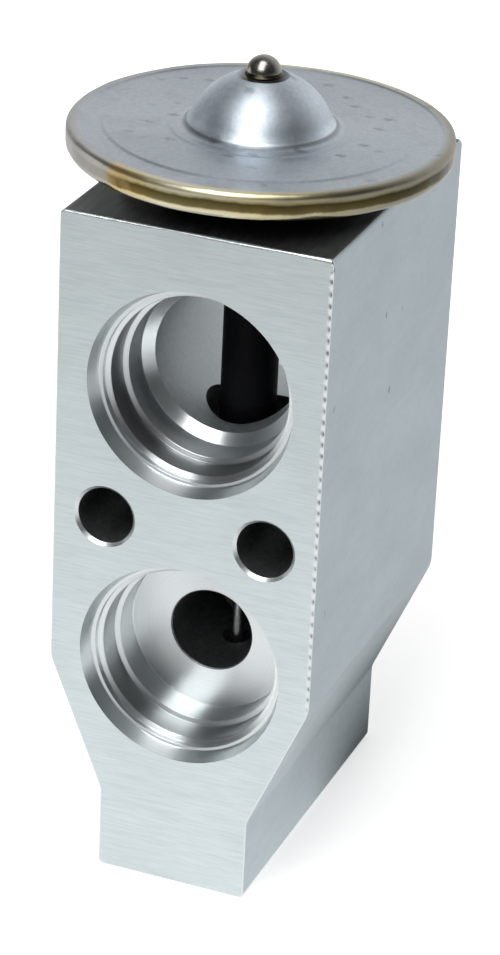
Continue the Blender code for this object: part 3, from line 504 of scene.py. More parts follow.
def pressed_cover():
    """Dull pressed steel with smudges, heat tint on the welded rim and round the charging ball, painted
    light on the dome, and a painted dark reflection band on the bead.
    """
    made, tree, shader = material("pressed_cover", Metallic=1.0, Anisotropic=0.45, Anisotropic_Rotation=0.25)
    centre, along = (0.0, AXIS_Y, 0.0), (0.0, 0.0, 1.0)
    across = radius_about(tree, centre, along)
    grain = cloud(tree, (1.8, 1.8, 1.8), detail=5.0, roughness=0.7)
    stains = cloud(tree, (0.20, 0.20, 0.20), detail=4.0, roughness=0.6, distortion=0.6)
    wavy = ragged(tree, along_axis(tree, "Z"), stains, reach=0.35)
    up_bead = across_share(tree, wavy, *BEAD_TONES_MM)
    edge = across_share(tree, across, *WELDED_EDGE_MM)
    plate, weld = cover_plate(tree, across, grain, stains), weld_colour(tree, stains, up_bead)
    tree.links.new(mix(tree, edge, plate, weld), shader.inputs["Base Color"])
    satin = ramp(tree, across_share(tree, across, *SATIN_DOME_MM), [(0.0, 0.14), (1.0, 0.0)])
    rough = math_node(tree, "ADD", spread(tree, stains, *COVER_ROUGHNESS), satin)
    polish = ramp(tree, up_bead, [(0.62, 0.22), (0.78, 0.38)])
    tree.links.new(mix(tree, edge, rough, polish), shader.inputs["Roughness"])
    tree.links.new(bump(tree, grain, distance=0.013 * MM), shader.inputs["Normal"])
    tree.links.new(tangent_about(tree, centre, along), shader.inputs["Tangent"])
    return made


def grained(tree, shader, dark, light, grain_per_mm, roughness, depth):
    """Joins a fine grain to a shader's colour, roughness and surface."""
    grain = cloud(tree, grain_per_mm, detail=4.0, roughness=0.6)
    tree.links.new(ramp(tree, grain, [(0.30, dark), (0.70, light)]), shader.inputs["Base Color"])
    tree.links.new(spread(tree, grain, *roughness), shader.inputs["Roughness"])
    tree.links.new(bump(tree, grain, depth), shader.inputs["Normal"])


def grained_metal(name, dark, light, roughness, grain_per_mm=(2.0, 2.0, 2.0), depth=0.004 * MM):
    """A plain metal with a fine grain."""
    made, tree, shader = material(name, Metallic=1.0)
    grained(tree, shader, dark, light, grain_per_mm, (roughness * 0.8, roughness * 1.2), depth)
    return made


def matt_soft(name, dark, light, roughness, grain_per_mm=(3.0, 3.0, 3.0), depth=0.01 * MM):
    """Moulded plastic or rubber with a fine matt grain."""
    made, tree, shader = material(name, Metallic=0.0, Specular_IOR_Level=0.08)
    grained(tree, shader, dark, light, grain_per_mm, (roughness - 0.08, roughness + 0.08), depth)
    return made


MILLED = milled_face()
EXTRUDED = extruded_side()
SUCTION_TURNED = turned_bore("suction_port_turned", SUCTION_HEIGHT, roughness=0.30, painted_band_shade=0.36)
OUTLET_TURNED = turned_bore("outlet_port_turned", OUTLET_HEIGHT, roughness=0.30, painted_band_shade=0.60)
INLET_TURNED = turned_bore("inlet_port_turned", INLET_HEIGHT, roughness=0.30, painted_band_shade=0.60)
DRILLED = drilled_hole()
PASSAGE = grained_metal(
    "suction_passage_wall",
    dark=(0.50, 0.54, 0.555),
    light=(0.64, 0.69, 0.70),
    roughness=0.55,
    grain_per_mm=(1.2, 1.2, 1.2),
    depth=0.02 * MM,
)
BURNISHED = grained_metal(
    "burnished_edge",
    dark=(0.78, 0.83, 0.85),
    light=(0.88, 0.93, 0.94),
    roughness=0.38,
    depth=0.003 * MM,
)
# Painted shade: the block's top is painted near black for the shadow under the head
TOP_PAINTED_SHADE = grained_metal(
    "top_painted_shade",
    dark=(0.12, 0.128, 0.12),
    light=(0.205, 0.212, 0.20),
    roughness=0.46,
    grain_per_mm=(1.4, 0.2, 1.4),
    depth=0.015 * MM,
)
COVER = pressed_cover()
LOWER_STEEL = grained_metal(
    "lower_housing_steel",
    dark=(0.34, 0.35, 0.36),
    light=(0.50, 0.51, 0.52),
    roughness=0.38,
)
BALL_STEEL = grained_metal(
    "seal_ball_steel",
    dark=(0.22, 0.21, 0.19),
    light=(0.36, 0.35, 0.33),
    roughness=0.27,
    depth=0.002 * MM,
)
WELD_STEEL = grained_metal(
    "ball_weld_steel",
    dark=(0.03, 0.028, 0.02),
    light=(0.09, 0.08, 0.055),
    roughness=0.34,
    depth=0.02 * MM,
)
STAINLESS = grained_metal(
    "thin_stainless",
    dark=(0.52, 0.52, 0.51),
    light=(0.68, 0.68, 0.67),
    roughness=0.26,
)
TURNED = grained_metal(
    "turned_aluminium",
    dark=(0.68, 0.70, 0.72),
    light=(0.82, 0.84, 0.85),
    roughness=0.30,
    grain_per_mm=(0.8, 0.8, 6.0),
)
PLASTIC = matt_soft(
    "black_plastic",
    dark=(0.003, 0.003, 0.004),
    light=(0.007, 0.007, 0.009),
    roughness=0.50,
)
RUBBER = matt_soft(
    "green_rubber",
    dark=(0.018, 0.065, 0.032),
    light=(0.035, 0.11, 0.055),
    roughness=0.62,
)


# Shapes


def arc(centre, radius, first, last, facet=ARC_FACET):
    steps = max(1, math.ceil(abs(last - first) / facet))
    angles = [first + (last - first) * k / steps for k in range(steps + 1)]
    return [(centre[0] + radius * math.cos(a), centre[1] + radius * math.sin(a)) for a in angles]


def fillet(before, corner, after, radius, longest):
    """The arc that rounds a corner between two straight lines, with its tangents at most this long."""
    ax, ay = before[0] - corner[0], before[1] - corner[1]
    bx, by = after[0] - corner[0], after[1] - corner[1]
    a_length, b_length = math.hypot(ax, ay), math.hypot(bx, by)
    ax, ay, bx, by = ax / a_length, ay / a_length, bx / b_length, by / b_length
    half = math.acos(max(-1.0, min(1.0, ax * bx + ay * by))) / 2
    if half > STRAIGHT_HALF_ANGLE:
        return [corner[:2]]
    radius = min(radius, longest * math.tan(half))
    middle = radius / (math.sin(half) * math.hypot(ax + bx, ay + by))
    centre = (corner[0] + (ax + bx) * middle, corner[1] + (ay + by) * middle)
    reach = radius / math.tan(half)
    first = math.atan2(corner[1] + ay * reach - centre[1], corner[0] + ax * reach - centre[0])
    turn = math.pi - 2 * half
    if ax * by - ay * bx > 0:
        turn = -turn
    return arc(centre, radius, first, first + turn)


def rounded(corners, closed=True):
    """A path through corners given as (x, y) or, where the corner is rounded, (x, y, radius)."""
    path = []
    count = len(corners)
    for k, corner in enumerate(corners):
        if len(corner) == 2 or not (closed or 0 < k < count - 1):
            path.append(corner[:2])
            continue
        before, after = corners[k - 1], corners[(k + 1) % count]
        room = []
        for neighbour in (before, after):
            share = SHARED_EDGE if len(neighbour) == 3 else WHOLE_EDGE
            room.append(share * math.dist(corner[:2], neighbour[:2]))
        path += fillet(before, corner, after, corner[2], min(room))
    return path


def resampled(path, step):
    """A closed path with its long runs divided into equal steps."""
    points = []
    for first, second in zip(path, path[1:] + path[:1]):
        count = max(1, round(math.dist(first, second) / step))
        for k in range(count):
            share = k / count
            points.append(tuple(a + (b - a) * share for a, b in zip(first, second)))
    return points


def shade(mesh):
    mesh.shade_smooth()
    mesh.set_sharp_from_angle(angle=CRISP_ANGLE)


def solid(name, shape, *finishes):
    """An object with the mesh and the materials of a finished shape, which is freed."""
    mesh = bpy.data.meshes.new(name)
    shape.to_mesh(mesh)
    shape.free()
    for finish in finishes:
        mesh.materials.append(finish)
    return link(bpy.data.objects.new(name, mesh))


def bridge(shape, rings):
    """Joins each ring of points to the next with four-sided faces."""
    for first, second in zip(rings, rings[1:]):
        for n in range(len(first)):
            following = (n + 1) % len(first)
            shape.faces.new((first[n], first[following], second[following], second[n]))


def lathe(name, profile, facets, finish):
    """A turned mesh about +Z, from (radius, height) points that the axis or the last edge closes."""
    shape = bmesh.new()
    points = [shape.verts.new((radius, 0, height)) for radius, height in profile]
    edges = [shape.edges.new(pair) for pair in zip(points, points[1:])]
    if profile[0][0] > 0:
        edges.append(shape.edges.new((points[-1], points[0])))
    bmesh.ops.spin(
        shape,
        geom=points + edges,
        axis=(0, 0, 1),
        cent=(0, 0, 0),
        angle=2 * math.pi,
        steps=facets,
        use_merge=True,
    )
    bmesh.ops.remove_doubles(shape, verts=shape.verts, dist=MERGE_DISTANCE)
    bmesh.ops.recalc_face_normals(shape, faces=shape.faces)
    turned = solid(name, shape, finish)
    shade(turned.data)
    return turned


def stood(obj, place, turn=(0, 0, 0)):
    """Moves a turned mesh to its place, so that its object stays at the origin."""
    obj.location = place
    obj.rotation_euler = turn
    bpy.context.view_layer.update()
    obj.data.transform(obj.matrix_world)
    obj.matrix_world.identity()
    return obj


INTO_FRONT = (-math.pi / 2, 0, 0)
INTO_REAR = (math.pi / 2, 0, 0)


def bore(name, steps, mouth, facets, turn, finish):
    """A cutter whose steps are (depth, radius) or (depth, radius, rounding), from a mouth inwards."""
    first = steps[0]
    corners = [(step[1], step[0]) + tuple(step[2:]) for step in steps]
    corners = [(0, first[0] - CUT_MARGIN), (first[1], first[0] - CUT_MARGIN)] + corners
    if corners[-1][0] > 0:
        corners.append((0, corners[-1][1]))
    return stood(lathe(name, rounded(corners, closed=False), facets, finish), mouth, turn)


def port_steps(mouth_radius):
    """The stepped mouth of a port, with the small rounds that its form tool leaves."""
    return [(depth * MM, mouth_radius - inset * MM, soft * MM) for depth, inset, soft in PORT_STEPS_MM]


def suction_bore(name, mouth, turn):
    """One end of the suction passage, front or rear."""
    steps = port_steps(PORT_MOUTH_RADIUS)
    steps.append((SUCTION_CONE_DEPTH + PASSAGE_OVERLAP, SUCTION_RADIUS - PASSAGE_OVERLAP))
    return bore(name, steps, (0, mouth, SUCTION_HEIGHT), FINE_FACETS, turn, SUCTION_TURNED)


def suction_passage():
    """The plain middle of the suction passage, a little longer than the gap between its two ends."""
    first = SUCTION_CONE_DEPTH - PASSAGE_OVERLAP
    last = BLOCK_DEPTH - first
    shape = [(0, first), (SUCTION_RADIUS, first), (SUCTION_RADIUS, last), (0, last)]
    passage = lathe("suction_passage", shape, FINE_FACETS, PASSAGE)
    return stood(passage, (0, FRONT_Y, SUCTION_HEIGHT), INTO_FRONT)


def outlet_bore():
    """The lower front port, down to its flat floor."""
    steps = port_steps(PORT_MOUTH_RADIUS) + [(PORT_DEPTH, OUTLET_HOLE_RADIUS)]
    mouth = (0, FRONT_Y, OUTLET_HEIGHT)
    return bore("outlet_bore", steps, mouth, FINE_FACETS, INTO_FRONT, OUTLET_TURNED)


def outlet_drilling():
    """The hole from the floor of the lower front port to just past the pin."""
    drilled = AXIS_DEPTH + OUTLET_HOLE_PAST_AXIS
    point = OUTLET_HOLE_RADIUS / math.tan(DRILL_POINT_ANGLE / 2)
    steps = [
        (PORT_DEPTH, OUTLET_HOLE_RADIUS + HOLE_LIP),
        (PORT_DEPTH + HOLE_LIP, OUTLET_HOLE_RADIUS),
        (drilled, OUTLET_HOLE_RADIUS),
        (drilled + point, 0),
    ]
    mouth = (0, FRONT_Y, OUTLET_HEIGHT)
    return bore("outlet_drilling", steps, mouth, FINE_FACETS, INTO_FRONT, DRILLED)


def inlet_bore():
    """The lower rear port, with its hole to the stem axis."""
    steps = port_steps(INLET_MOUTH_RADIUS)
    steps.append((PORT_DEPTH + INLET_CONE, INLET_HOLE_RADIUS))
    steps.append((BLOCK_DEPTH - AXIS_DEPTH, INLET_HOLE_RADIUS))
    mouth = (0, REAR_Y, INLET_HEIGHT)
    return bore("inlet_bore", steps, mouth, SMALL_FACETS, INTO_REAR, INLET_TURNED)


def bright_lips(cutter):
    """Gives the chamfers at both ends of a hole the bright finish of a fresh cut."""
    cutter.data.materials.append(BURNISHED)
    for face in cutter.data.polygons:
        if face.center.y < FRONT_Y + HOLE_CHAMFER or face.center.y > REAR_Y - HOLE_CHAMFER:
            face.material_index = 1
    return cutter


def bolt_bore(name, x):
    """A bolt hole right through the block, chamfered at both ends."""
    steps = [
        (0, BOLT_HOLE_RADIUS + HOLE_CHAMFER),
        (HOLE_CHAMFER, BOLT_HOLE_RADIUS),
        (BLOCK_DEPTH - HOLE_CHAMFER, BOLT_HOLE_RADIUS),
        (BLOCK_DEPTH, BOLT_HOLE_RADIUS + HOLE_CHAMFER),
        (BLOCK_DEPTH + CUT_MARGIN, BOLT_HOLE_RADIUS + HOLE_CHAMFER),
    ]
    cutter = bore(name, steps, (x, FRONT_Y, BOLT_HEIGHT), SMALL_FACETS, INTO_FRONT, DRILLED)
    return bright_lips(cutter)


def flange_bore():
    """The blind hole for the line flange's stud."""
    point = FLANGE_HOLE_RADIUS / math.tan(DRILL_POINT_ANGLE / 2)
    steps = [
        (0, FLANGE_HOLE_RADIUS + HOLE_CHAMFER),
        (HOLE_CHAMFER, FLANGE_HOLE_RADIUS),
        (FLANGE_HOLE_DEPTH, FLANGE_HOLE_RADIUS),
        (FLANGE_HOLE_DEPTH + point, 0),
    ]
    mouth = (0, REAR_Y, FLANGE_HOLE_HEIGHT)
    return bright_lips(bore("flange_bore", steps, mouth, SMALL_FACETS, INTO_REAR, DRILLED))


def stem_bore():
    """Everything drilled along the stem axis, from the head's ring recess down to the base."""
    height = BLOCK_HEIGHT + CUT_MARGIN
    profile = [(0, height)]
    for radius, lower_end in STEM_BORES:
        profile += [(radius, height), (radius, lower_end)]
        height = lower_end
    profile.append((0, height))
    return stood(lathe("stem_bore", profile, SMALL_FACETS, DRILLED), (0, AXIS_Y, 0))


# Edges of the milled faces, with the burrs that the face mill leaves on the front one
TOOTHED_FROM_X = 0.485 * BLOCK_WIDTH
TOOTH_PITCH = 1.42 * MM
TOOTH_PITCH_WANDER = 0.15
TOOTH_EDGE = 0.38 * MM
TOOTH_EDGE_NOISE = 0.06 * MM
TOOTH_BURR = 0.12 * MM
TOOTH_BURR_NOISE = 0.4
TOP_EDGE = 0.36 * MM
TOP_EDGE_SLOW_NOISE = 0.30 * MM
TOP_EDGE_FINE_NOISE = 0.15 * MM
TOP_EDGE_LEAST = 0.12 * MM
TOP_EDGE_MOST = 0.50 * MM
TOP_BURR = 0.024 * MM
PLAIN_EDGE = 0.12 * MM
PLAIN_EDGE_NOISE = 0.024 * MM
PLAIN_BURR = 0.006 * MM
EDGE_WAVES_PER_M = 900
SLOW_WAVES_PER_M = 160
FRONT_SEED = 3.0
REAR_SEED = 11.0
SLOW_SEED_STEP = 7.0
ROUND_STEPS = 5
SUPPORT_DEPTH = 1.1 * MM

# Materials of the block, by their place in its mesh
MILLED_INDEX = 0
EXTRUDED_INDEX = 1
TOP_PAINTED_SHADE_INDEX = 2
# The top's material holds painted shade for the shadow under the head
BURNISHED_INDEX = 3
UPWARDS = 0.9


def edge_form(x, z, seed, burred):
    """Edge radius and burr height at a point of the outline."""
    rough = noise.noise(Vector((x * EDGE_WAVES_PER_M, z * EDGE_WAVES_PER_M, seed)))
    slow = noise.noise(Vector((x * SLOW_WAVES_PER_M, z * SLOW_WAVES_PER_M, seed + SLOW_SEED_STEP)))
    if burred and x > TOOTHED_FROM_X and SHOULDER_TOP < z < BLOCK_HEIGHT - TOOTH_PITCH:
        phase = 2 * math.pi * (z / TOOTH_PITCH + TOOTH_PITCH_WANDER * slow)
        tooth = (1 + math.sin(phase)) / 2
        burr = TOOTH_BURR * tooth * (1 + TOOTH_BURR_NOISE * rough)
        return TOOTH_EDGE + TOOTH_EDGE_NOISE * rough, burr
    if z > BLOCK_HEIGHT - TOP_CORNER_RADIUS:
        radius = TOP_EDGE + TOP_EDGE_SLOW_NOISE * slow + TOP_EDGE_FINE_NOISE * rough
        return max(TOP_EDGE_LEAST, min(TOP_EDGE_MOST, radius)), TOP_BURR * (1 + rough)
    return PLAIN_EDGE + PLAIN_EDGE_NOISE * (1 + rough), PLAIN_BURR * (1 + slow)


def block_outline():
    """The block seen from the front, as points that lie close together."""
    half = [
        (BLOCK_WIDTH / 2, BLOCK_HEIGHT, TOP_CORNER_RADIUS),
        (BLOCK_WIDTH / 2, SHOULDER_TOP, SHOULDER_RADIUS),
        (NECK_WIDTH / 2, SHOULDER_BOTTOM, NECK_RADIUS),
        (NECK_WIDTH / 2, 0, BASE_CORNER_RADIUS),
    ]
    outline = rounded(half + [(-x, z, radius) for x, z, radius in reversed(half)])
    return resampled(outline, OUTLINE_STEP)


def outwards_at(outline, n):
    """Direction out of a closed outline at one of its points."""
    before, after = outline[n - 1], outline[(n + 1) % len(outline)]
    along = Vector((after[0] - before[0], after[1] - before[1])).normalized()
    return -along.y, along.x


def edge_rings(shape, outline, face_y, inwards, seed, burred):
    """Rings of points from a milled face over its worn edge, and one that supports them from behind."""
    forms = [edge_form(x, z, seed, burred) for x, z in outline]
    rings = []
    for k in range(ROUND_STEPS + 1):
        angle = math.pi / 2 * k / ROUND_STEPS
        ring = []
        for n, (x, z) in enumerate(outline):
            across, up = outwards_at(outline, n)
            radius, burr = forms[n]
            raised = burr * math.sin(2 * angle) if burred else 0
            inset = radius * (1 - math.sin(angle)) - raised
            depth = radius * (1 - math.cos(angle)) - raised
            ring.append(shape.verts.new((x - across * inset, face_y + inwards * depth, z - up * inset)))
        rings.append(ring)
    rings.append([shape.verts.new((x, face_y + inwards * SUPPORT_DEPTH, z)) for x, z in outline])
    return rings


def block_blank():
    """The extruded bar, cut to the block's depth, with worn edges and burrs on the front one."""
    outline = block_outline()
    shape = bmesh.new()
    front = edge_rings(shape, outline, FRONT_Y, 1, FRONT_SEED, burred=True)
    rear = edge_rings(shape, outline, REAR_Y, -1, REAR_SEED, burred=False)
    bridge(shape, front + rear[::-1])
    caps = [shape.faces.new(front[0]), shape.faces.new(rear[0])]
    shape.normal_update()
    for face in shape.faces:
        on_top = face.calc_center_median().z > BLOCK_HEIGHT - TOP_CORNER_RADIUS
        face.material_index = TOP_PAINTED_SHADE_INDEX if on_top and face.normal.z > UPWARDS else EXTRUDED_INDEX
    for face in caps:
        face.material_index = MILLED_INDEX
    for vert in {vert for rings in (front, rear) for ring in rings[1:-2] for vert in ring}:
        for face in vert.link_faces:
            face.material_index = BURNISHED_INDEX
    bmesh.ops.recalc_face_normals(shape, faces=shape.faces)
    return solid("block", shape, MILLED, EXTRUDED, TOP_PAINTED_SHADE, BURNISHED)


def cut_out(obj, cutters):
    """Cuts every cutter from a mesh at once. A cut surface keeps its cutter's material."""
    group = bpy.data.collections.new("cutters")
    bpy.context.scene.collection.children.link(group)
    for cutter in cutters:
        group.objects.link(cutter)
    modifier = obj.modifiers.new("bores", "BOOLEAN")
    modifier.operation = "DIFFERENCE"
    modifier.solver = "EXACT"
    modifier.material_mode = "TRANSFER"
    modifier.operand_type = "COLLECTION"
    modifier.collection = group
    graph = bpy.context.evaluated_depsgraph_get()
    mesh = bpy.data.meshes.new_from_object(obj.evaluated_get(graph))
    obj.modifiers.clear()
    obj.data = mesh
    for cutter in cutters:
        delete(cutter)
    bpy.data.collections.remove(group)
    shade(mesh)
    for face in mesh.polygons:
        if abs(face.normal.y) > FLAT_COSINE and face.material_index == MILLED_INDEX:
            face.use_smooth = False
    return obj


def settle(piece, body, slot, *nodes):
    """Puts a finished piece on its body, in place of its CAD nodes, if it has any."""
    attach(piece, body)
    if nodes:
        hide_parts(*nodes)
    return piece


def valve_body():
    """The block with its ports, bolt holes and drillings."""
    cutters = [
        suction_bore("suction_bore_front", FRONT_Y, INTO_FRONT),
        suction_bore("suction_bore_rear", REAR_Y, INTO_REAR),
        suction_passage(),
        outlet_bore(),
        outlet_drilling(),
        inlet_bore(),
        stem_bore(),
        bolt_bore("bolt_bore_left", -BOLT_SPACING / 2),
        bolt_bore("bolt_bore_right", BOLT_SPACING / 2),
        flange_bore(),
    ]
    settle(cut_out(block_blank(), cutters), "block", "milled_aluminium", "valve_body")


# Power head
DOME_TOP = 97.6 * MM
LAND_TOP = 91.0 * MM
FLANGE_TOP = 90.85 * MM
BEAD_TOP = 91.0 * MM
BEAD_BOTTOM = 87.66 * MM
BEAD_ROUND = 1.25 * MM
BEAD_TOP_ROUND = 1.65 * MM
BEAD_FOOT_RADIUS = 20.9 * MM
BEAD_FOOT_ROUND = 0.2 * MM
BEAD_TOE = 0.3 * MM
BEAD_TOE_ROUND = 0.15 * MM
INNER_FLANGE = 1.05 * MM
LAND_RADIUS = 18.1 * MM
LAND_STEP = 0.4 * MM
DOME_SPHERE_RADIUS = 8.9 * MM
DOME_EDGE_RADIUS = 7.9 * MM
DOME_FLARE_RADIUS = 2.8 * MM
DOME_FOOT_RADIUS = 10.6 * MM
DOME_FOOT_STEP = 0.12 * MM
DOME_FOOT_RUN = 0.36 * MM
DOME_FOOT_ROUND = 1.0 * MM
DOME_FOOT_EASE = 2.0 * MM
UPPER_PLATE = 1.05 * MM
UPPER_FLANGE_UNDERSIDE = 89.5 * MM
BEAD_INNER_RADIUS = 21.2 * MM
CHARGE_SEAT_RADIUS = 3.0 * MM
CHARGE_HOLE_RADIUS = 1.2 * MM
WELD_RADIUS = 2.25 * MM
WELD_ROOT = 0.3 * MM
WELD_SKIN = 0.01 * MM
WELD_CLIMB = 0.35 * MM
WELD_BELLY = 0.12 * MM
WELD_ROUND = 0.2 * MM
WELD_TOE = 0.02 * MM
WELD_UNDERCUT = 0.2 * MM
DOME_CENTRE = DOME_TOP - DOME_SPHERE_RADIUS
CHARGE_CONE_DEPTH = 1.6 * MM

# Waves and lumps of the bead: where they begin and are full, and how many steps they have
BEAD_WAVES_FROM = 20.6 * MM
BEAD_WAVES_FADE = 1.2 * MM
BEAD_WAVES_AROUND = 6
BEAD_WAVES_PER_M = 300
BEAD_LUMPS_AROUND = 24
BEAD_LUMPS_PER_M = 900
BEAD_WAVE = 0.05 * MM
BEAD_LUMP = 0.02 * MM
BEAD_SUNK = 0.03 * MM
BEAD_RISE = 0.04 * MM
RISE_OFFSET = Vector((3, 5, 7))


def sphere_height(sphere_radius, radius):
    """Height of one of the dome's spheres at a distance from the stem axis."""
    return DOME_CENTRE + math.sqrt(sphere_radius**2 - radius**2)


def flare_corner(sphere_radius, edge_radius, floor):
    """Radius where the dome's tangent, from the edge of its sphere, comes down to the floor."""
    above = sphere_height(sphere_radius, edge_radius) - DOME_CENTRE
    return edge_radius + (DOME_CENTRE + above - floor) * above / edge_radius


def dome_arc(sphere_radius, first_radius, last_radius):
    """Part of the dome's profile, between two distances from the stem axis."""
    first = math.acos(first_radius / sphere_radius)
    last = math.acos(last_radius / sphere_radius)
    return arc((0, DOME_CENTRE), sphere_radius, first, last, DOME_FACET)


def uneven_bead(mesh):
    """Slow waves and small lumps on the welded bead."""
    for vert in mesh.vertices:
        x, y, z = vert.co
        radius = math.hypot(x, y)
        share = max(0.0, min(1.0, (radius - BEAD_WAVES_FROM) / BEAD_WAVES_FADE))
        if share == 0:
            continue
        across, up = x / radius, y / radius
        waves = Vector((across * BEAD_WAVES_AROUND, up * BEAD_WAVES_AROUND, z * BEAD_WAVES_PER_M))
        lumps = Vector((across * BEAD_LUMPS_AROUND, up * BEAD_LUMPS_AROUND, z * BEAD_LUMPS_PER_M))
        out = BEAD_WAVE * noise.noise(waves) + BEAD_LUMP * noise.noise(lumps) - BEAD_SUNK
        grow = 1 + share * out / radius
        vert.co = (x * grow, y * grow, z + share * BEAD_RISE * noise.noise(waves + RISE_OFFSET))


def upper_housing():
    """The pressed cover, from the charging hole over the dome and the plate to the welded bead."""
    edge_height = sphere_height(DOME_SPHERE_RADIUS, DOME_EDGE_RADIUS)
    foot_top = LAND_TOP + DOME_FOOT_STEP
    flare = flare_corner(DOME_SPHERE_RADIUS, DOME_EDGE_RADIUS, foot_top)
    inner_sphere = DOME_SPHERE_RADIUS - UPPER_PLATE
    inner_edge = DOME_EDGE_RADIUS * inner_sphere / DOME_SPHERE_RADIUS
    land_rise = LAND_TOP - UPPER_FLANGE_UNDERSIDE - INNER_FLANGE
    land_underside = UPPER_FLANGE_UNDERSIDE + land_rise
    inner_flare = flare_corner(inner_sphere, inner_edge, land_underside)
    rim = [
        (DOME_EDGE_RADIUS, edge_height),
        (flare, foot_top, DOME_FLARE_RADIUS),
        (DOME_FOOT_RADIUS, foot_top, DOME_FOOT_ROUND),
        (DOME_FOOT_RADIUS + DOME_FOOT_RUN, LAND_TOP, DOME_FOOT_EASE),
        (LAND_RADIUS, LAND_TOP, LAND_STEP / 2),
        (LAND_RADIUS + LAND_STEP, FLANGE_TOP, LAND_STEP / 2),
        (BEAD_FOOT_RADIUS, FLANGE_TOP, BEAD_FOOT_ROUND),
        (BEAD_FOOT_RADIUS + BEAD_TOE, BEAD_TOP, BEAD_TOE_ROUND),
        (HEAD_RADIUS, BEAD_TOP, BEAD_TOP_ROUND),
        (HEAD_RADIUS, BEAD_BOTTOM, BEAD_ROUND),
        (BEAD_INNER_RADIUS, BEAD_BOTTOM),
        (BEAD_INNER_RADIUS, UPPER_FLANGE_UNDERSIDE),
        (LAND_RADIUS + LAND_STEP - land_rise, UPPER_FLANGE_UNDERSIDE),
        (LAND_RADIUS - land_rise, land_underside),
        (inner_flare, land_underside, DOME_FLARE_RADIUS + UPPER_PLATE),
        (inner_edge, sphere_height(inner_sphere, inner_edge)),
    ]
    seat_top = sphere_height(DOME_SPHERE_RADIUS, CHARGE_SEAT_RADIUS)
    cone_bottom = seat_top - CHARGE_CONE_DEPTH
    profile = [(CHARGE_HOLE_RADIUS, cone_bottom)]
    profile += dome_arc(DOME_SPHERE_RADIUS, CHARGE_SEAT_RADIUS, DOME_EDGE_RADIUS)
    profile += rounded(rim, closed=False)[1:-1]
    profile += dome_arc(inner_sphere, inner_edge, CHARGE_SEAT_RADIUS)
    profile += [(CHARGE_HOLE_RADIUS, cone_bottom - UPPER_PLATE)]
    cover = lathe("power_head_cover", profile, 2 * FINE_FACETS, COVER)
    uneven_bead(cover.data)
    settle(stood(cover, (0, AXIS_Y, 0)), "block", "pressed_steel", "head_upper_housing")


def fine_ball(name, low, high, finish, body, slot, node):
    """A ball with even small facets, in the box of its CAD node."""
    shape = bmesh.new()
    bmesh.ops.create_icosphere(shape, subdivisions=BALL_SUBDIVISIONS, radius=(high.z - low.z) / 2)
    ball = solid(name, shape, finish)
    ball.data.shade_smooth()
    settle(stood(ball, (low + high) / 2), body, slot, node)


def ball_weld():
    """The dark ring of the resistance weld between the charging ball and its dome."""
    radius = (BALL_HIGH.x - BALL_LOW.x) / 2
    foot = sphere_height(DOME_SPHERE_RADIUS, WELD_RADIUS)
    profile = rounded([
        (radius - WELD_ROOT, foot - WELD_ROOT),
        (radius + WELD_SKIN, foot + WELD_CLIMB),
        (radius + WELD_BELLY, foot + WELD_BELLY, WELD_ROUND),
        (WELD_RADIUS, foot - WELD_TOE),
        (WELD_RADIUS - WELD_UNDERCUT, foot - WELD_ROOT),
    ])
    piece = stood(lathe("ball_weld", profile, SMALL_FACETS, WELD_STEEL), (0, AXIS_Y, 0))
    settle(piece, "block", "ball_steel")


# Sleeve and pin
SLEEVE_WALL = 0.7 * MM
SLEEVE_LIP = 0.15 * MM
PIN_LIP = 0.12 * MM


def sleeve():
    """The plastic tube round the sensing rod."""
    outer, inner = SLEEVE_HIGH.x, SLEEVE_HIGH.x - SLEEVE_WALL
    profile = rounded([
        (outer, SLEEVE_HIGH.z, SLEEVE_LIP),
        (outer, SLEEVE_LOW.z, SLEEVE_LIP),
        (inner, SLEEVE_LOW.z, SLEEVE_LIP),
        (inner, SLEEVE_HIGH.z, SLEEVE_LIP),
    ])
    piece = stood(lathe("sleeve", profile, SMALL_FACETS, PLASTIC), (0, AXIS_Y, 0))
    settle(piece, "valve_train", "black_plastic", "rod_sleeve")


def pin():
    """The pin between the rod and the ball."""
    profile = rounded([
        (0, PIN_HIGH.z),
        (PIN_HIGH.x, PIN_HIGH.z, PIN_LIP),
        (PIN_HIGH.x, PIN_LOW.z, PIN_LIP),
        (0, PIN_LOW.z),
    ], closed=False)
    piece = stood(lathe("pin", profile, PIN_FACETS, STAINLESS), (0, AXIS_Y, 0))
    settle(piece, "valve_train", "thin_stainless", "push_pin")


# Corrugated sheet of the head, which flattens towards its clamped edge
SHEET_THICKNESS = 0.15 * MM
SHEET_FLAT_RADIUS = 8.0 * MM
SHEET_WAVE_END = 16.2 * MM
SHEET_RIM = 89.05 * MM
SHEET_WAVES = 2
SHEET_WAVE_RISE = 0.4 * MM
POINTS_PER_WAVE = 16


def diaphragm():
    """The sheet, flat in the middle and at its clamped edge, with round waves between."""
    count = POINTS_PER_WAVE * SHEET_WAVES
    waves = [(0, SHEET_LOW.z)]
    for k in range(count + 1):
        share = k / count
        radius = SHEET_FLAT_RADIUS + (SHEET_WAVE_END - SHEET_FLAT_RADIUS) * share
        height = SHEET_LOW.z + (SHEET_RIM - SHEET_LOW.z) * share
        rise = SHEET_WAVE_RISE * (1 - math.cos(2 * math.pi * SHEET_WAVES * share)) / 2
        waves.append((radius, height + rise))
    waves.append((SHEET_HIGH.x, SHEET_RIM))
    profile = [(radius, height + SHEET_THICKNESS) for radius, height in waves] + waves[::-1]
    piece = stood(lathe("diaphragm_sheet", profile, SMALL_FACETS, STAINLESS), (0, AXIS_Y, 0))
    settle(piece, "block", "thin_stainless", "diaphragm")
    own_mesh(piece)


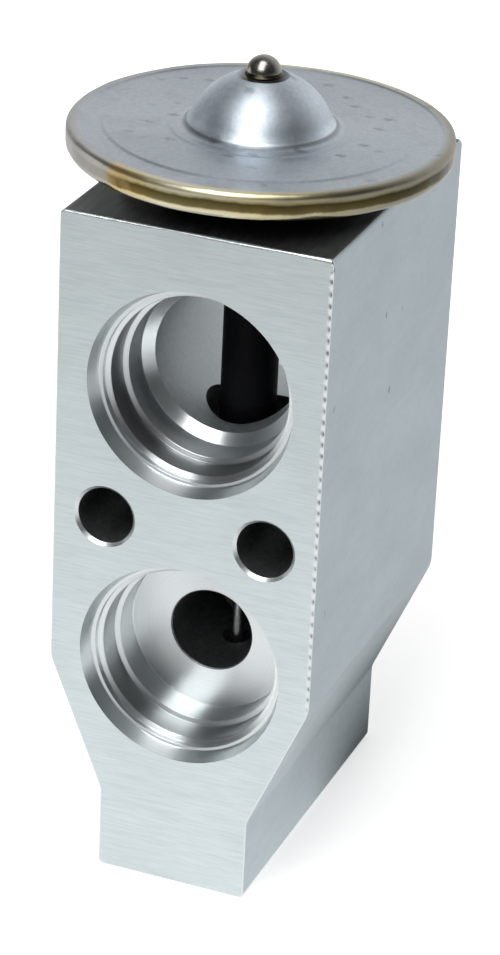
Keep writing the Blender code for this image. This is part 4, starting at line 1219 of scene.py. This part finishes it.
# Superheat spring, made as two lengths of one coil
SPRING_WIRE = 1.1 * MM
SPRING_MEAN_RADIUS = 3.3 * MM
SPRING_END_PITCH = 1.25 * MM
SPRING_OPEN_TURNS = 2
SPRING_FIXED_SHARE = 0.62
TURN_FACETS = 48
WIRE_FACETS = 16


def coil_path():
    """Middle of the wire, from the bottom up, with one closed turn at each end."""
    bottom, top = SPRING_LOW.z + SPRING_WIRE / 2, SPRING_HIGH.z - SPRING_WIRE / 2
    heights = [bottom, bottom + SPRING_END_PITCH, top - SPRING_END_PITCH, top]
    turns = [0, 1, 1 + SPRING_OPEN_TURNS, 2 + SPRING_OPEN_TURNS]
    path = []
    for k in range(TURN_FACETS * turns[-1] + 1):
        turn = k / TURN_FACETS
        stretch = max(n for n, begun in enumerate(turns[:-1]) if begun <= turn)
        share = (turn - turns[stretch]) / (turns[stretch + 1] - turns[stretch])
        height = heights[stretch] + share * (heights[stretch + 1] - heights[stretch])
        angle = 2 * math.pi * turn
        x, y = SPRING_MEAN_RADIUS * math.cos(angle), SPRING_MEAN_RADIUS * math.sin(angle)
        path.append(Vector((x, y, height)))
    return path


def wire(name, path, finish):
    """A round wire along part of a coil about +Z, closed at both ends."""
    shape = bmesh.new()
    rings = []
    for k, middle in enumerate(path):
        along = (path[min(k + 1, len(path) - 1)] - path[max(k - 1, 0)]).normalized()
        outwards = Vector((middle.x, middle.y, 0)).normalized()
        across = along.cross(outwards)
        ring = []
        for n in range(WIRE_FACETS):
            angle = 2 * math.pi * n / WIRE_FACETS
            offset = math.cos(angle) * outwards + math.sin(angle) * across
            ring.append(shape.verts.new(middle + offset * SPRING_WIRE / 2))
        rings.append(ring)
    bridge(shape, rings)
    shape.faces.new(rings[0])
    shape.faces.new(rings[-1])
    bmesh.ops.recalc_face_normals(shape, faces=shape.faces)
    bent = solid(name, shape, finish)
    shade(bent.data)
    return stood(bent, (0, AXIS_Y, 0))


def superheat_spring():
    """Two lengths of one coil, which meet at a place along it."""
    path = coil_path()
    meeting = round(len(path) * SPRING_FIXED_SHARE)
    lower = wire("superheat_coil_lower", path[: meeting + 1], STAINLESS)
    upper = wire("superheat_coil_upper", path[meeting:], STAINLESS)
    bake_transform(lower)
    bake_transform(upper)
    for piece in (lower, upper):
        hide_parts("superheat_spring")


valve_body()
upper_housing()
fine_ball("seal_ball", BALL_LOW, BALL_HIGH, BALL_STEEL, "block", "ball_steel", "charge_seal_ball")
ball_weld()
sleeve()
pin()
diaphragm()
superheat_spring()

# CAD nodes that keep their shape
CARRIED_OVER = {
    "head_lower_housing": LOWER_STEEL,
    "diaphragm_stop_plate": STAINLESS,
    "head_o_ring": RUBBER,
    "sensing_rod": TURNED,
    "rod_o_ring": RUBBER,
    "o_ring_retainer": STAINLESS,
    "valve_ball": BALL_STEEL,
    "ball_holder": TURNED,
    "damper_spring": STAINLESS,
    "adjusting_screw": TURNED,
    "screw_o_ring": RUBBER,
}
for node, finish in CARRIED_OVER.items():
    for slot in frame["nodes"][node].material_slots:
        slot.material = finish


# Floor, light and camera
FLOOR_RADIUS = 0.9
FLOOR_FACETS = 64
FLOOR_COLOUR = (0.80, 0.80, 0.80, 1.0)
GLOW_MM = (60.0, 260.0)
GLOW_NEAR = 0.60
GLOW_FAR = 1.0
# Painted light on the floor as metal sees it, dimmer far in front and behind, and a painted shadow patch
# behind the block
FLOOR_PAINTED_LIGHT_Y_MM = (-240.0, 160.0)
FLOOR_PAINTED_LIGHT = [
    (0.0, 0.60),
    (0.20, 0.78),
    (0.28, 0.90),
    (0.38, 0.98),
    (0.55, 0.98),
    (0.70, 0.82),
    (1.0, 0.82),
]
SHADED_PLACE = (-14.0 * MM, 35.0 * MM, 0.0)
SHADED_MM = (20.0, 52.0)
SHADED = [(0.0, 0.0), (0.30, 0.12), (0.62, 0.88), (1.0, 1.0)]

# Light of the world from in front of the object to behind it
WORLD_TONES = [(0.0, 0.04), (0.55, 0.07), (0.75, 0.45), (0.88, 0.90)]
LAMP_TARGET = (0.0, 0.0, 0.05)


def floor():
    """A pale floor that glows white to the camera. To metal it glows with painted light, brightest just in
    front of the block, and shows a painted shadow patch behind it.
    """
    made = bpy.data.materials.new("pale_floor")
    made.use_nodes = True
    tree = made.node_tree
    tree.nodes.clear()
    out = add(tree, "ShaderNodeOutputMaterial")
    diffuse = add(tree, "ShaderNodeBsdfDiffuse", inputs={"Color": FLOOR_COLOUR})
    path = add(tree, "ShaderNodeLightPath")
    away = radius_about(tree, (0.0, 0.0, 0.0), (0.0, 0.0, 1.0))
    seen = spread(tree, across_share(tree, away, *GLOW_MM), GLOW_NEAR, GLOW_FAR)
    glow = math_node(tree, "MULTIPLY", path.outputs["Is Camera Ray"], seen)
    emission = add(tree, "ShaderNodeEmission", inputs={"Strength": glow})
    lit = add(tree, "ShaderNodeAddShader", inputs={0: diffuse.outputs[0], 1: emission.outputs[0]})
    painted_floor_light = ramp(tree, across_share(tree, along_axis(tree, "Y"), *FLOOR_PAINTED_LIGHT_Y_MM), FLOOR_PAINTED_LIGHT)
    off = radius_about(tree, SHADED_PLACE, (0.0, 0.0, 1.0))
    patch = ramp(tree, across_share(tree, off, *SHADED_MM), SHADED)
    shown = add(tree, "ShaderNodeEmission", inputs={"Color": multiply(tree, painted_floor_light, patch)})
    inputs = {0: path.outputs["Is Glossy Ray"], 1: lit.outputs[0], 2: shown.outputs[0]}
    both = add(tree, "ShaderNodeMixShader", inputs=inputs)
    tree.links.new(both.outputs[0], out.inputs["Surface"])
    shape = bmesh.new()
    bmesh.ops.create_circle(shape, cap_ends=True, segments=FLOOR_FACETS, radius=FLOOR_RADIUS)
    solid("floor", shape, made)


def lamp(name, place, width, height, power):
    """A soft box that faces the object."""
    data = bpy.data.lights.new(name, "AREA")
    data.shape = "RECTANGLE"
    data.size = width
    data.size_y = height
    data.energy = power
    obj = link(bpy.data.objects.new(name, data))
    obj.location = place
    direction = Vector(LAMP_TARGET) - Vector(place)
    obj.rotation_euler = direction.to_track_quat("-Z", "Y").to_euler()


def world():
    """White to the camera, and to the object dark in front and bright behind."""
    made = bpy.data.worlds.new("studio")
    made.use_nodes = True
    tree = made.node_tree
    tree.nodes.clear()
    out = add(tree, "ShaderNodeOutputWorld")
    place = add(tree, "ShaderNodeTexCoord").outputs["Generated"]
    parts = add(tree, "ShaderNodeSeparateXYZ", inputs={0: place})
    behind = across_share(tree, parts.outputs["Y"], -1.0, 1.0)
    lit = add(tree, "ShaderNodeBackground", inputs={"Color": ramp(tree, behind, WORLD_TONES)})
    white = add(tree, "ShaderNodeBackground", inputs={"Color": (1, 1, 1, 1)})
    camera = add(tree, "ShaderNodeLightPath").outputs["Is Camera Ray"]
    both = add(tree, "ShaderNodeMixShader", inputs={0: camera, 1: lit.outputs[0], 2: white.outputs[0]})
    tree.links.new(both.outputs[0], out.inputs["Surface"])
    bpy.context.scene.world = made


def camera():
    """The photo's camera."""
    data = bpy.data.cameras.new("camera")
    data.lens = CAMERA_LENS_MM
    data.sensor_width = CAMERA_SENSOR_MM
    data.clip_start = CAMERA_CLIP_START
    obj = link(bpy.data.objects.new("camera", data))
    obj.location = CAMERA_PLACE
    obj.rotation_euler = CAMERA_TURN
    bpy.context.scene.camera = obj


floor()
lamp("softbox_front", place=(-0.015, -0.28, 0.53), width=0.32, height=0.60, power=2.7)
lamp("softbox_left", place=(-0.50, -0.02, 0.10), width=0.20, height=0.14, power=0.12)
world()
camera()
bpy.context.scene.view_settings.view_transform = "Standard"
